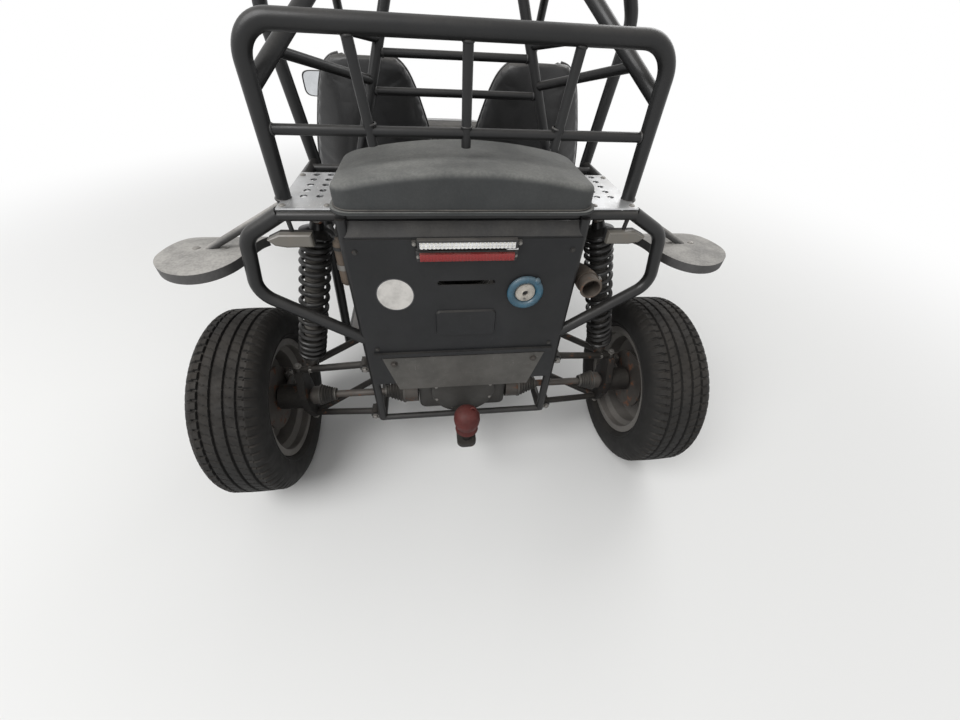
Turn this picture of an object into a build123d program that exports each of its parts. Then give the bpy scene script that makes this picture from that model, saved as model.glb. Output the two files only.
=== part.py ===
from build123d import *
from math import cos, radians, sin
import os

# Two-seat rear-engined dune buggy with a tube frame. Millimetres. While it is
# drawn, +X is to the right, +Y is forward, +Z is up, and the rear axle's line
# is x = any, y = 0. The finished pieces are moved so that the origin is on
# the floor under the middle of the vehicle's box.

# Driving dimensions
WHEELBASE = 1900
REAR_TRACK = 1292
FRONT_TRACK = 1200
FRONT_REACH = 452  # from the front axle to the front bumper's face

# Tyres and steel wheels
REAR_TYRE_R = 298
REAR_TYRE_WIDTH = 190
FRONT_TYRE_R = 275
FRONT_TYRE_WIDTH = 160
SHOULDER_R = 28
BEAD_R = 178
RIM_FLANGE = 17
RIM_SHEET = 4
RIM_INSET = 25  # how much narrower the rim is than its tyre, each side
HUB_R = 62
HUB_BORE_R = 21
RUNNING_GAP = 0.4
WHEEL_BOLTS = 4
WHEEL_BOLT_CIRCLE_R = 50
WHEEL_BOLT_R = 7
RIM_VENTS = 8
RIM_VENT_CIRCLE_R = 134
RIM_VENT_R = 10

# Frame tubes
MAIN_TUBE_R = 16
HOOP_TUBE_R = 16
STAY_TUBE_R = 15
SIDE_TUBE_R = 13
CROSS_TUBE_R = 11
THIN_TUBE_R = 9
BRACE_TUBE_R = 10
FRONT_AXLE_Y = WHEELBASE
FLOOR_Z = 250
FLOOR_HALF = 436
FLOOR_END = FRONT_AXLE_Y - 355
FLOOR_CROSS_Y = 360
SEAT_RAIL_REAR_Y = 700
SEAT_RAIL_FRONT_Y = 1030
TOE_BAR_Y = FLOOR_END - 45
HOOP_Y = 320
HOOP_TOP = 1434
HOOP_HALF = FLOOR_HALF + 4
HOOP_SHOULDER = 169  # from the top bar down to the widest place
ROOF_HALF = 385
PILLAR_Y = FRONT_AXLE_Y - 450
PILLAR_Z = 760
PILLAR_HALF = 410
ROOF_FRONT_Y = PILLAR_Y - 470
ROOF_FALL = 30  # how much lower the roof is at its front end
DOOR_Z = 600
DOOR_BULGE = 60

# Rear frame and the hoop over the tail
POST_HALF = 272
POST_Y = -75
DECK_Z = 935
DECK_HALF = 400
DECK_END = -60
ARM_RAIL_Z = 470
CRADLE_Y = 150
DECK_CROSS_Y = 260
STAY_TOP_HALF = 110
STAY_BARS = (249, 324)  # from the roof down to each bar between the stays
OUTER_STAY_TOP_HALF = 166
OUTER_STAY_Z = 1146
TAIL_HOOP_TOP = 1245
TAIL_HOOP_HALF = DECK_HALF - 15
TAIL_HOOP_BAR = 1085
TAIL_HOOP_LEAN = 25
UPRIGHT_X = 190
GUARD_HALF = 512
GUARD_Y = -50
GUARD_Z = 740
GUARD_FOOT_Z = 600

# Rear suspension
REAR_PIVOT_X = REAR_TRACK / 2 - 126
REAR_UPPER_Z = 412
REAR_LOWER_Z = 208
ARM_R = 11
ARM_EYE_R = 15
PIN_R = 6
PIN_GAP = 0.5
SHOCK_BAR_Z = DECK_Z - 13
SHOCK_TOP = (DECK_HALF - 55, 20, SHOCK_BAR_Z - 19)
SHOCK_FOOT = (REAR_PIVOT_X - 42, 12, REAR_UPPER_Z + 12)
SPRING_R = 40
SPRING_COILS = 8

# Front suspension and steering
KINGPIN_X = FRONT_TRACK / 2 - 70
FRONT_UPPER_Z = 355
FRONT_LOWER_Z = 195
NOSE_HALF = 185
NOSE_LOW_Z = 235
NOSE_TOP_Z = 390
NOSE_START = FRONT_AXLE_Y - 220
NOSE_END = FRONT_AXLE_Y + 300
TOWER_X = 205
TOWER_Z = 580
STEER_ARM = 100
FRONT_SHOCK_TOP = (TOWER_X + 13, FRONT_AXLE_Y, TOWER_Z + 2)
FRONT_SHOCK_FOOT = (KINGPIN_X - 100, FRONT_AXLE_Y, FRONT_UPPER_Z + 17)
FRONT_SPRING_R = 31
RACK_Y = FRONT_AXLE_Y - STEER_ARM
RACK_Z = 306
RACK_R = 11
RACK_HOUSING_R = 20
RACK_GAP = 1.0
COLUMN_TILT = 38
WHEEL_CENTRE = (-265, PILLAR_Y - 320, PILLAR_Z + 90)
STEERING_WHEEL_R = 165
STEERING_GRIP_R = 14
SHAFT_R = 9

# Mudguards
REAR_GUARD_R = 510
REAR_GUARD_LENGTH = 330
REAR_GUARD_INSIDE = 105  # how far the guard reaches in from the middle of the tyre
REAR_GUARD_OUTSIDE = 95
REAR_GUARD_STAY_Y = 60
REAR_GUARD_LIP = 24
FRONT_GUARD_GAP = 45
FRONT_GUARD_WIDTH = 170
FRONT_GUARD_LIP = 16
FRONT_GUARD_LOW = 90  # from the hub up to its rear end
FRONT_GUARD_AHEAD = 215
GUARD_SHEET = 4

# Engine and exhaust
CASE_HALF = 148
CASE_TOP = 430
BLOCK_HALF = 120
BLOCK_TOP = 600
BARREL_R = 82
FIN_R = 98
HEAD_HALF = 95
HEAD_LOW = 715
HEAD_TOP = 800
PIPE_R = 27
PIPE_WALL = 4
PIPE_X = SHOCK_TOP[0] - 22
PIPE_Z = 760
PIPE_END = -100

# Tail panels
PANEL_SHEET = 4
PANEL_HALF = 272
PANEL_LOW = 432
PANEL_TOP = 895
PANEL_Y = -92
PANEL_LIP = 9
PLATE_TOP = 540
PLATE_LOW = 408
PLATE_TOP_HALF = 236
PLATE_LOW_HALF = 200
PLATE_BOLT_X = 205
PLATE_BOLT_Z = PLATE_TOP - 22
PLATE_BOLT_R = 5
STRIP_HALF = 110
STRIP_Z = 889
RED_LAMP_Z = 857
SLOT_Z = 781.5
FIELD_Z = 659
DISC_CENTRE = (150, PANEL_Y, 752)
DISC_R = 45
CROWN_RISE = 34
COVER_HALF = 285
COVER_REAR = -92
COVER_FRONT = 168
COVER_LOW = 951
COVER_CROWN = 1036

# Cabin
PAN_TOP = 269
SHEET = 3
SEAT_X = 240
SEAT_SECTIONS = [
    # front y, front z, back y, back z, half width, bolster
    (1060, 345, 1050, 262, 176, 4),
    (1028, 424, 980, 262, 197, 14),
    (915, 426, 870, 262, 200, 30),
    (778, 402, 712, 262, 200, 46),
    (704, 420, 600, 262, 199, 58),
    (664, 505, 536, 372, 198, 58),
    (610, 690, 486, 612, 200, 50),
    (559, 862, 446, 838, 192, 36),
    (518, 992, 419, 1000, 155, 18),
    (483, 1094, 397, 1112, 117, 5),
    (449, 1158, 392, 1169, 76, 2),
    (433, 1176, 402, 1180, 46, 1),
]
DASH_BAR_Y = PILLAR_Y - 30
DASH_HALF = PILLAR_HALF - 42
DASH_SECTION = [
    # y and z from the pillar's waist
    (20, 58),
    (-50, 52),
    (-105, 32),
    (-115, -60),
    (-90, -70),
]
MIRROR_CENTRE = (520, PILLAR_Y - 132, PILLAR_Z + 225)
PEDALS = (-330, -265, -200)
PEDAL_Y = TOE_BAR_Y - 30

# Nose
BUMPER_Y = FRONT_AXLE_Y + FRONT_REACH - MAIN_TUBE_R
BUMPER_TOP_Z = 420
BUMPER_LOW_Z = 265
BUMPER_HALF = 265
BUMPER_POST_X = 120
TOW_EYE_R = 12
LAMP_CENTRE = (185, BUMPER_Y - 46, 520)
LAMP_R = 70
HOOD_WALL = 4
HOOD_SECTIONS = [
    # y from the front axle, half width, lowest z, highest z
    (-420, 335, 610, 822),
    (-180, 312, 606, 784),
    (0, 276, 604, 728),
    (180, 240, 560, 666),
    (335, 198, 470, 584),
]

# Tow ball
BALL_CENTRE = (0, -195, 362)
BALL_R = 25
BALL_COVER_R = 33
DRAWBAR_HALF = 30
DRAWBAR_BOLT_X = 20
DRAWBAR_BOLT_R = 5.5

REAR_HUB = (REAR_TRACK / 2, 0, REAR_TYRE_R)
FRONT_HUB = (FRONT_TRACK / 2, FRONT_AXLE_Y, FRONT_TYRE_R)
PILLAR_FOOT = (FLOOR_HALF, FLOOR_END, FLOOR_Z)
PILLAR_WAIST = (PILLAR_HALF, PILLAR_Y, PILLAR_Z)
PILLAR_TOP = (ROOF_HALF, ROOF_FRONT_Y, HOOP_TOP - ROOF_FALL)

PIECES = {}


def keep(name, shape, *neighbours):
    """Trim a piece against the neighbours that it is welded or seated to, and keep it."""
    for neighbour in neighbours:
        shape = shape - PIECES[neighbour]
    PIECES[name] = shape


def flip(shape):
    """The same shape on the other side of the vehicle."""
    return mirror(shape, about=Plane.YZ)


def both(shape):
    """A shape on the right with its twin on the left."""
    return Compound(children=[*shape.solids(), *flip(shape).solids()])


def bar(start, end, radius):
    """A round bar from one point to another."""
    run = Vector(*end) - Vector(*start)
    return extrude(Plane(origin=start, z_dir=run) * Circle(radius), run.length)


def tube(points, radius, bend):
    """A bent round tube, with an arc of radius bend at each corner."""
    path = FilletPolyline(*points, radius=bend)
    return sweep(Plane(origin=path @ 0, z_dir=path % 0) * Circle(radius), path)


def between(start, end, share):
    """A point part of the way from one point to another."""
    return tuple(a + (b - a) * share for a, b in zip(start, end))


def ball(centre, radius):
    return Pos(*centre) * Sphere(radius)


def block(low, high):
    """A box between two corners."""
    size = [b - a for a, b in zip(low, high)]
    middle = [(a + b) / 2 for a, b in zip(low, high)]
    return Pos(*middle) * Box(*size)


def across(x, y, z):
    """A plane that faces +X, at a point, for what turns with a wheel."""
    return Plane(origin=(x, y, z), x_dir=(0, 1, 0), z_dir=(1, 0, 0))


def turned(outline, hub):
    """Revolve an outline of (across, radius) points round a wheel's axis."""
    face = make_face(outline)
    ring = revolve(face, axis=Axis.X)
    return Pos(*hub) * ring


def tyre(hub, radius, width):
    """A tyre: flat tread, round shoulders and bulged walls down to the bead."""
    half = width / 2
    bead = half - RIM_INSET
    lip = BEAD_R + RIM_FLANGE
    tread = half - SHOULDER_R
    wall = radius - SHOULDER_R
    with BuildLine() as outline:
        Line((-bead, BEAD_R), (-bead, lip))
        Line((-bead, lip), (-half, (wall + lip) / 2))
        Line((-half, (wall + lip) / 2), (-half, wall))
        Line((-tread, radius), (tread, radius))
        Line((half, wall), (half, (wall + lip) / 2))
        Line((half, (wall + lip) / 2), (bead, lip))
        Line((bead, lip), (bead, BEAD_R))
        Line((bead, BEAD_R), (-bead, BEAD_R))
        RadiusArc((-half, wall), (-tread, radius), SHOULDER_R)
        RadiusArc((tread, radius), (half, wall), SHOULDER_R)
    return turned(outline.line, hub)


def rim(hub, width, side):
    """A steel rim with its wheel disc: side is +1 on the right and -1 on the left."""
    edge = width / 2 - RIM_INSET
    seat = edge - 22
    drop = seat - 14
    inside = BEAD_R - RIM_SHEET
    with BuildLine() as outline:
        Polyline(
            (-edge - RIM_SHEET, BEAD_R - 2),
            (-edge - RIM_SHEET, BEAD_R + RIM_FLANGE),
            (-edge, BEAD_R + RIM_FLANGE),
            (-edge, BEAD_R),
            (-seat, BEAD_R),
            (-drop, BEAD_R - 16),
            (drop, BEAD_R - 16),
            (seat, BEAD_R),
            (edge, BEAD_R),
            (edge, BEAD_R + RIM_FLANGE),
            (edge + RIM_SHEET, BEAD_R + RIM_FLANGE),
            (edge + RIM_SHEET, BEAD_R - 2),
            (edge + 2, inside),
            (seat + 2, inside),
            (drop + 2, inside - 16),
            (-drop - 2, inside - 16),
            (-seat - 2, inside),
            (-edge - 2, inside),
            close=True,
        )
    barrel = turned(outline.line, hub)
    reach = inside - 15
    with BuildLine() as section:
        Polyline(
            (side * 6, HUB_BORE_R),
            (side * 6, HUB_R),
            (side * 26, HUB_R + 30),
            (side * 26, HUB_R + 55),
            (side * 8, reach),
            (side * 14, reach),
            (side * 32, HUB_R + 57),
            (side * 32, HUB_R + 27),
            (side * 12, HUB_R - 4),
            (side * 12, HUB_BORE_R),
            close=True,
        )
    disc = turned(section.line, hub)
    holes = [
        # count, circle's radius, hole's radius
        (WHEEL_BOLTS, WHEEL_BOLT_CIRCLE_R, WHEEL_BOLT_R),
        (RIM_VENTS, RIM_VENT_CIRCLE_R, RIM_VENT_R),
    ]
    for count, circle, radius in holes:
        face = across(hub[0] - 50, hub[1], hub[2]).location
        for place in PolarLocations(circle, count, start_angle=45):
            disc -= extrude(face * place * Circle(radius), 100)
    return barrel + disc


def hoop_x(z):
    """How far out the main hoop's leg stands at a height below the deck."""
    return between((FLOOR_HALF,), (DECK_HALF,), (z - FLOOR_Z) / (DECK_Z - FLOOR_Z))[0]


def pillar_point(z):
    """A point on the front pillar's axis at a height."""
    low, high = (PILLAR_FOOT, PILLAR_WAIST) if z < PILLAR_Z else (PILLAR_WAIST, PILLAR_TOP)
    return between(low, high, (z - low[2]) / (high[2] - low[2]))


def frame_floor():
    """Two side rails with cross tubes under the seats and the feet."""
    rail = bar((FLOOR_HALF, HOOP_Y, FLOOR_Z), PILLAR_FOOT, MAIN_TUBE_R)
    frame = both(rail)
    for y in (FLOOR_CROSS_Y, SEAT_RAIL_REAR_Y, SEAT_RAIL_FRONT_Y, TOE_BAR_Y):
        frame = frame + bar((-FLOOR_HALF, y, FLOOR_Z), (FLOOR_HALF, y, FLOOR_Z), SIDE_TUBE_R)
    return frame


def main_hoop():
    """The hoop behind the seats, narrower at the deck and at the roof."""
    side = [
        # x, z from the floor up
        (FLOOR_HALF, FLOOR_Z),
        (DECK_HALF, DECK_Z),
        (HOOP_HALF, HOOP_TOP - HOOP_SHOULDER),
        (ROOF_HALF - 20, HOOP_TOP),
    ]
    right = [(x, HOOP_Y, z) for x, z in side]
    left = [(-x, HOOP_Y, z) for x, z in reversed(side)]
    return tube(right + left, MAIN_TUBE_R, 90)


def cage_side():
    """Roof rail and front pillar, one bent tube on the right."""
    start = (ROOF_HALF, HOOP_Y, HOOP_TOP - MAIN_TUBE_R)
    return tube([start, PILLAR_TOP, PILLAR_WAIST, PILLAR_FOOT], MAIN_TUBE_R, 110)


def cage_bars():
    """Cross bars between the two cage sides: over the roof and at the dash."""
    spans = [
        # half width, y, z
        (ROOF_HALF, ROOF_FRONT_Y - 60, HOOP_TOP - ROOF_FALL + 2),
        (ROOF_HALF, (HOOP_Y + ROOF_FRONT_Y) / 2 - 10, HOOP_TOP - 22),
        (PILLAR_HALF, DASH_BAR_Y, PILLAR_Z + 20),
    ]
    return [bar((-x, y, z), (x, y, z), SIDE_TUBE_R) for x, y, z in spans]


def door_bar():
    """Side bar beside the seats, dropped in the middle where one climbs in."""
    root = DOOR_Z + 60
    points = [
        (hoop_x(root), HOOP_Y, root),
        (HOOP_HALF + DOOR_BULGE, HOOP_Y + 240, DOOR_Z),
        (HOOP_HALF + DOOR_BULGE, PILLAR_Y - 270, DOOR_Z - 60),
        pillar_point(PILLAR_Z - 120),
    ]
    return tube(points, SIDE_TUBE_R, 90)


def nose_side():
    """The right half of the nose: low and high rail, posts, tower and its stays."""
    low = [
        (NOSE_HALF + 60, TOE_BAR_Y, FLOOR_Z),
        (NOSE_HALF, NOSE_START - 20, NOSE_LOW_Z),
        (NOSE_HALF, NOSE_END, NOSE_LOW_Z),
    ]
    side = tube(low, SIDE_TUBE_R, 60)
    tower_top = (TOWER_X, FRONT_AXLE_Y, TOWER_Z)
    runs = [
        # start, end, radius
        ((NOSE_HALF, NOSE_START, NOSE_TOP_Z), (NOSE_HALF, NOSE_END, NOSE_TOP_Z), SIDE_TUBE_R),
        ((NOSE_HALF, NOSE_START + 10, NOSE_LOW_Z), (NOSE_HALF, NOSE_START + 10, NOSE_TOP_Z), CROSS_TUBE_R),
        ((NOSE_HALF, NOSE_END - 14, NOSE_LOW_Z), (NOSE_HALF, NOSE_END - 14, NOSE_TOP_Z), CROSS_TUBE_R),
        (pillar_point(PILLAR_Z - 60), tower_top, SIDE_TUBE_R),
        ((NOSE_HALF, FRONT_AXLE_Y, NOSE_TOP_Z), tower_top, SIDE_TUBE_R - 1),
        (tower_top, (NOSE_HALF, NOSE_END - 30, NOSE_TOP_Z), CROSS_TUBE_R),
    ]
    for start, end, radius in runs:
        side = side + bar(start, end, radius)
    return side


def nose_frame():
    """Both halves of the nose with the cross tubes between them."""
    side = nose_side()
    frame = side + flip(side)
    crosses = [
        # y, z
        (NOSE_START + 20, NOSE_TOP_Z),
        (RACK_Y, NOSE_LOW_Z),
        (NOSE_END - 30, NOSE_LOW_Z),
        (NOSE_END - 30, NOSE_TOP_Z),
    ]
    for y, z in crosses:
        frame = frame + bar((-NOSE_HALF, y, z), (NOSE_HALF, y, z), THIN_TUBE_R)
    return frame


def rear_frame():
    """Engine cradle: low rails, arm rails, deck rails and posts, with cross bars."""
    post = POST_HALF
    runs = [
        # start, end, radius
        ((post, FLOOR_CROSS_Y, FLOOR_Z), (post, POST_Y, FLOOR_Z), SIDE_TUBE_R),
        ((post, POST_Y, FLOOR_Z), (post, POST_Y, DECK_Z), SIDE_TUBE_R - 0.5),
        ((post, POST_Y, ARM_RAIL_Z), (post, CRADLE_Y, ARM_RAIL_Z), SIDE_TUBE_R - 1),
        ((post, CRADLE_Y, FLOOR_Z), (post, CRADLE_Y, ARM_RAIL_Z), CROSS_TUBE_R),
        ((post, CRADLE_Y, ARM_RAIL_Z), (hoop_x(PILLAR_Z), HOOP_Y, PILLAR_Z), CROSS_TUBE_R),
        ((post, POST_Y, DECK_Z), (post, DECK_CROSS_Y, DECK_Z), CROSS_TUBE_R),
        ((post, SHOCK_TOP[1], SHOCK_BAR_Z), (DECK_HALF, SHOCK_TOP[1], SHOCK_BAR_Z), THIN_TUBE_R),
        ((DECK_HALF, HOOP_Y, DECK_Z), (DECK_HALF, DECK_END, DECK_Z), SIDE_TUBE_R - 0.5),
    ]
    side = bar(*runs[0])
    for run in runs[1:]:
        side = side + bar(*run)
    frame = side + flip(side)
    spans = [
        # half width, y, z
        (post, POST_Y, FLOOR_Z),
        (post, POST_Y, ARM_RAIL_Z),
        (post, CRADLE_Y, FLOOR_Z),
        (DECK_HALF, DECK_CROSS_Y, DECK_Z),
        (DECK_HALF, DECK_END, DECK_Z),
    ]
    for half, y, z in spans:
        frame = frame + bar((-half, y, z), (half, y, z), CROSS_TUBE_R - 0.5)
    return frame


def stay_point(z):
    """A point on the right inner stay's axis at a height."""
    top = (STAY_TOP_HALF, HOOP_Y, HOOP_TOP)
    foot = (POST_HALF, DECK_CROSS_Y, DECK_Z)
    return between(top, foot, (HOOP_TOP - z) / (HOOP_TOP - DECK_Z))


def rear_stays():
    """Two stays from the roof down to the deck, joined by two bars."""
    stay = bar(stay_point(HOOP_TOP), stay_point(DECK_Z), SIDE_TUBE_R)
    frame = stay + flip(stay)
    for drop in STAY_BARS:
        x, y, z = stay_point(HOOP_TOP - drop)
        frame = frame + bar((-x, y, z), (x, y, z), THIN_TUBE_R)
    return frame


def tail_hoop_point(z):
    """A point on the right leg of the tail hoop at a height."""
    foot = (DECK_HALF, 0, DECK_Z)
    top = (TAIL_HOOP_HALF, -TAIL_HOOP_LEAN, TAIL_HOOP_TOP)
    return between(foot, top, (z - DECK_Z) / (TAIL_HOOP_TOP - DECK_Z))


def outer_stay():
    """Stay from the top of the main hoop to the tail hoop, braced twice to the inner stay."""
    x, y, z = tail_hoop_point(OUTER_STAY_Z)
    foot = (x + HOOP_TUBE_R / 2, y + HOOP_TUBE_R / 2, z)
    top = (OUTER_STAY_TOP_HALF, HOOP_Y, HOOP_TOP)
    stay = bar(foot, top, STAY_TUBE_R)
    braces = [
        # from the roof down to the foot on the inner stay, share of the way up the outer stay
        (224, 0.35),
        (304, 0.185),
    ]
    for drop, share in braces:
        stay = stay + bar(stay_point(HOOP_TOP - drop), between(foot, top, share), BRACE_TUBE_R)
    return stay


def tail_hoop():
    """Rounded hoop over the tail with a low bar and three uprights."""
    right = [tail_hoop_point(DECK_Z), tail_hoop_point(TAIL_HOOP_TOP)]
    left = [(-x, y, z) for x, y, z in reversed(right)]
    frame = tube(right + left, HOOP_TUBE_R, 62)
    x, y, z = tail_hoop_point(TAIL_HOOP_BAR)
    frame = frame + bar((-x, y, z), (x, y, z), BRACE_TUBE_R)
    for place in (-UPRIGHT_X, 0, UPRIGHT_X):
        top = (place * 1.1, -TAIL_HOOP_LEAN, TAIL_HOOP_TOP)
        frame = frame + bar(top, (place, y, z - 25), BRACE_TUBE_R)
    return frame


def side_guard():
    """C-shaped guard beside the tail, from the deck down to the post."""
    points = [
        (DECK_HALF, GUARD_Y, DECK_Z),
        (GUARD_HALF - 25, GUARD_Y, DECK_Z - 50),
        (GUARD_HALF, GUARD_Y, GUARD_Z),
        (POST_HALF, POST_Y, GUARD_FOOT_Z),
    ]
    return tube(points, HOOP_TUBE_R, 55)


def arm(outer, inners):
    """An A-shaped arm: two legs from its inner pivots to one outer eye."""
    shape = ball(outer, ARM_EYE_R)
    for x, y, z in inners:
        shape = shape + bar(outer, (x, y, z), ARM_R)
        shape = shape + bar((x, y - 18, z), (x, y + 18, z), ARM_R + 4)
    return shape


def shock(top, foot, spring_r):
    """Coil-over: damper body, rod and coils drawn as stacked rings."""
    start, run = Vector(*foot), Vector(*top) - Vector(*foot)
    place = Plane(origin=start, z_dir=run)
    length = run.length
    damper, perch = 20, 24
    pitch = (length - 110) / SPRING_COILS
    points = [(0, 0), (12, 0), (12, 30), (perch, 30), (perch, 40)]
    for turn in range(SPRING_COILS):
        low = 40 + pitch * turn
        points += [(damper, low), (spring_r, low + pitch * 0.25)]
        points += [(spring_r, low + pitch * 0.65), (damper, low + pitch * 0.9)]
    points += [(perch, length - 62), (perch, length - 40), (12, length - 40), (12, length), (0, length)]
    face = Plane.XZ * make_face(Polyline(*points, close=True))
    return place.location * revolve(face, axis=Axis.Z)


def rear_mudguard():
    """Short oval plate over the rear tyre with a turned-down lip and its bracket."""
    hub_x, _, hub_z = REAR_HUB
    inner_x, outer_x = hub_x - REAR_GUARD_INSIDE, hub_x + REAR_GUARD_OUTSIDE
    middle, width = (inner_x + outer_x) / 2, outer_x - inner_x
    top = hub_z + REAR_GUARD_R

    def arch(depth, inset):
        """A curved slab under the guard's top, cut to the oval less an inset."""
        ring = across(inner_x, 0, hub_z) * (Circle(REAR_GUARD_R) - Circle(REAR_GUARD_R - depth))
        oval = SlotOverall(REAR_GUARD_LENGTH - 2 * inset, width - 2 * inset, rotation=90)
        return extrude(ring, width) & (Pos(middle, 95, top - 200) * extrude(oval, 300))

    lip = arch(REAR_GUARD_LIP, 0) - (Pos(0, 0, -1) * arch(REAR_GUARD_LIP + 10, GUARD_SHEET))
    stay_top = (middle, REAR_GUARD_STAY_Y, top - 7)
    stay = bar((DECK_HALF, REAR_GUARD_STAY_Y, DECK_Z - 5), stay_top, THIN_TUBE_R)
    return arch(GUARD_SHEET, 0) + lip + (stay - arch(GUARD_SHEET, 0))


def front_mudguard():
    """Curved strip over a front tyre, with a lip down each edge."""
    x, y, z = FRONT_HUB
    reach = FRONT_TYRE_R + FRONT_GUARD_GAP
    inner = across(x - FRONT_GUARD_WIDTH / 2, y, z)
    strip = extrude(inner * (Circle(reach) - Circle(reach - GUARD_SHEET)), FRONT_GUARD_WIDTH)
    for offset in (0, FRONT_GUARD_WIDTH - GUARD_SHEET):
        lip = inner.offset(offset) * (Circle(reach) - Circle(reach - FRONT_GUARD_LIP))
        strip = strip + extrude(lip, GUARD_SHEET)
    low, high = (0, y - 2 * reach, z + FRONT_GUARD_LOW), (2 * x, y + FRONT_GUARD_AHEAD, z + 2 * reach)
    return strip & block(low, high)


def knuckle():
    """Upright on two pins, with its stub axle, steering arm and mudguard stay."""
    x, y = KINGPIN_X, FRONT_AXLE_Y
    z = FRONT_TYRE_R
    low, high = FRONT_LOWER_Z + ARM_EYE_R + PIN_GAP, FRONT_UPPER_Z - ARM_EYE_R - PIN_GAP
    body = bar((x, y, low), (x, y, high), 17)
    body = body + bar((x, y, low - 12), (x, y, high + 12), PIN_R)
    body = body + bar((x, y, z), (FRONT_HUB[0] + 26, y, z), HUB_BORE_R - RUNNING_GAP)
    body = body + bar((x, y, z), (x + 24, y, z), 30)
    eye = (x - 20, RACK_Y, RACK_Z - 26)
    body = body + bar((x, y, z), eye, 9)
    body = body + bar((eye[0], eye[1], eye[2] - 12), (eye[0], eye[1], eye[2] + 12), 14)
    crown = z + (FRONT_TYRE_R + FRONT_GUARD_GAP)
    stay = [
        (x, y + 10, z + 20),
        (x - 25, y + 60, z + 45),
        (x - 25, y + 60, crown - 20),
        (FRONT_HUB[0] + 30, y + 60, crown - 9),
    ]
    return body + tube(stay, 8, 18)


def steering_rack():
    """Rack bar with a tie rod and rod end at each side, just above the steering arms."""
    end = KINGPIN_X - 20
    rack = bar((-NOSE_HALF - 5, RACK_Y, RACK_Z), (NOSE_HALF + 5, RACK_Y, RACK_Z), RACK_R)
    rack = rack + bar((-end, RACK_Y, RACK_Z), (end, RACK_Y, RACK_Z), 8)
    for x in (-end, end):
        rack = rack + bar((x, RACK_Y, RACK_Z - 12), (x, RACK_Y, RACK_Z + 12), 14)
    return rack


def column_point(distance):
    """A point on the steering column's axis, forward and down from the wheel's centre."""
    x, y, z = WHEEL_CENTRE
    return (x, y + distance * cos(radians(COLUMN_TILT)), z - distance * sin(radians(COLUMN_TILT)))


def steering_wheel():
    """Padded rim on three spokes, with its short shaft in the column."""
    axis = Vector(0, cos(radians(COLUMN_TILT)), -sin(radians(COLUMN_TILT)))
    plane = Plane(origin=WHEEL_CENTRE, x_dir=(1, 0, 0), z_dir=axis)
    wheel = plane.location * Torus(STEERING_WHEEL_R, STEERING_GRIP_R)
    wheel = wheel + extrude(plane.offset(-16) * Circle(34), 36)
    for turn in (30, 150, 270):
        angle = radians(turn)
        out = plane.from_local_coords((STEERING_WHEEL_R * cos(angle), STEERING_WHEEL_R * sin(angle), 0))
        wheel = wheel + bar(WHEEL_CENTRE, tuple(out), 7)
    return wheel + bar(column_point(20), column_point(80), SHAFT_R)


def steering_column():
    """Column tube, its bracket, the angled lower shaft and the rack's housing."""
    column = bar(column_point(28), column_point(350), 19)
    column = column - bar(column_point(20), column_point(95), SHAFT_R + RUNNING_GAP)
    foot = column_point(345)
    column = column + bar(foot, (-120, RACK_Y, RACK_Z + 14), 9)
    x = WHEEL_CENTRE[0]
    column = column + block((x - 14, DASH_BAR_Y - 8, PILLAR_Z - 120), (x + 14, DASH_BAR_Y + 8, PILLAR_Z + 20))
    reach = NOSE_HALF - 30
    housing = bar((-reach, RACK_Y, RACK_Z), (reach, RACK_Y, RACK_Z), RACK_HOUSING_R)
    for side in (-1, 1):
        lug = side * (reach - 30)
        housing = housing + block((lug - 12, RACK_Y - 9, NOSE_LOW_Z), (lug + 12, RACK_Y + 9, RACK_Z))
    column = column + housing
    return column - bar((-reach - 50, RACK_Y, RACK_Z), (reach + 50, RACK_Y, RACK_Z), RACK_R + RACK_GAP)


def half_shaft():
    """Drive shaft with its boots, brake disc and the stub that holds the rim."""
    hub, case = REAR_HUB[0], CASE_HALF
    with BuildLine() as outline:
        Polyline(
            (case + 4, 0),
            (case + 4, 40),
            (case + 52, 40),
            (case + 87, 22),
            (case + 87, 12),
            (hub - 206, 12),
            (hub - 176, 30),
            (hub - 146, 30),
            (hub - 146, HUB_BORE_R),
            (hub - 34, HUB_BORE_R),
            (hub - 34, 105),
            (hub - 28, 105),
            (hub - 28, 45),
            (hub - 12, 45),
            (hub - 12, HUB_R - 4),
            (hub + 6, HUB_R - 4),
            (hub + 6, HUB_BORE_R),
            (hub + 30, HUB_BORE_R),
            (hub + 30, 0),
            close=True,
        )
    return turned(outline.line, (0, 0, REAR_TYRE_R))


def front_brake():
    """Hub drum and brake disc that turn with a front wheel."""
    hub = FRONT_HUB[0]
    bore = HUB_BORE_R
    with BuildLine() as outline:
        Polyline(
            (hub - 34, bore), (hub - 34, 98), (hub - 28, 98), (hub - 28, 45),
            (hub - 12, 45), (hub - 12, HUB_R - 4), (hub + 6, HUB_R - 4), (hub + 6, bore), close=True,
        )
    return turned(outline.line, (0, *FRONT_HUB[1:]))


def rear_carrier():
    """Upright with the rear wheel's bearing between the eyes of the arms."""
    x, y, z = REAR_HUB
    outline = [
        # y, z round the plate
        (-16, REAR_LOWER_Z),
        (18, REAR_LOWER_Z),
        (46, z - 28),
        (46, z + 28),
        (26, REAR_UPPER_Z),
        (-8, REAR_UPPER_Z),
        (-44, z + 28),
        (-44, z - 28),
    ]
    plate = across(REAR_PIVOT_X - 11, 0, 0) * make_face(Polyline(*outline, close=True))
    body = extrude(plate, 22) + bar((REAR_PIVOT_X - 11, y, z), (x - 42, y, z), 42)
    return body - bar((REAR_PIVOT_X - 60, y, z), (x, y, z), HUB_BORE_R + RUNNING_GAP)


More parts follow.
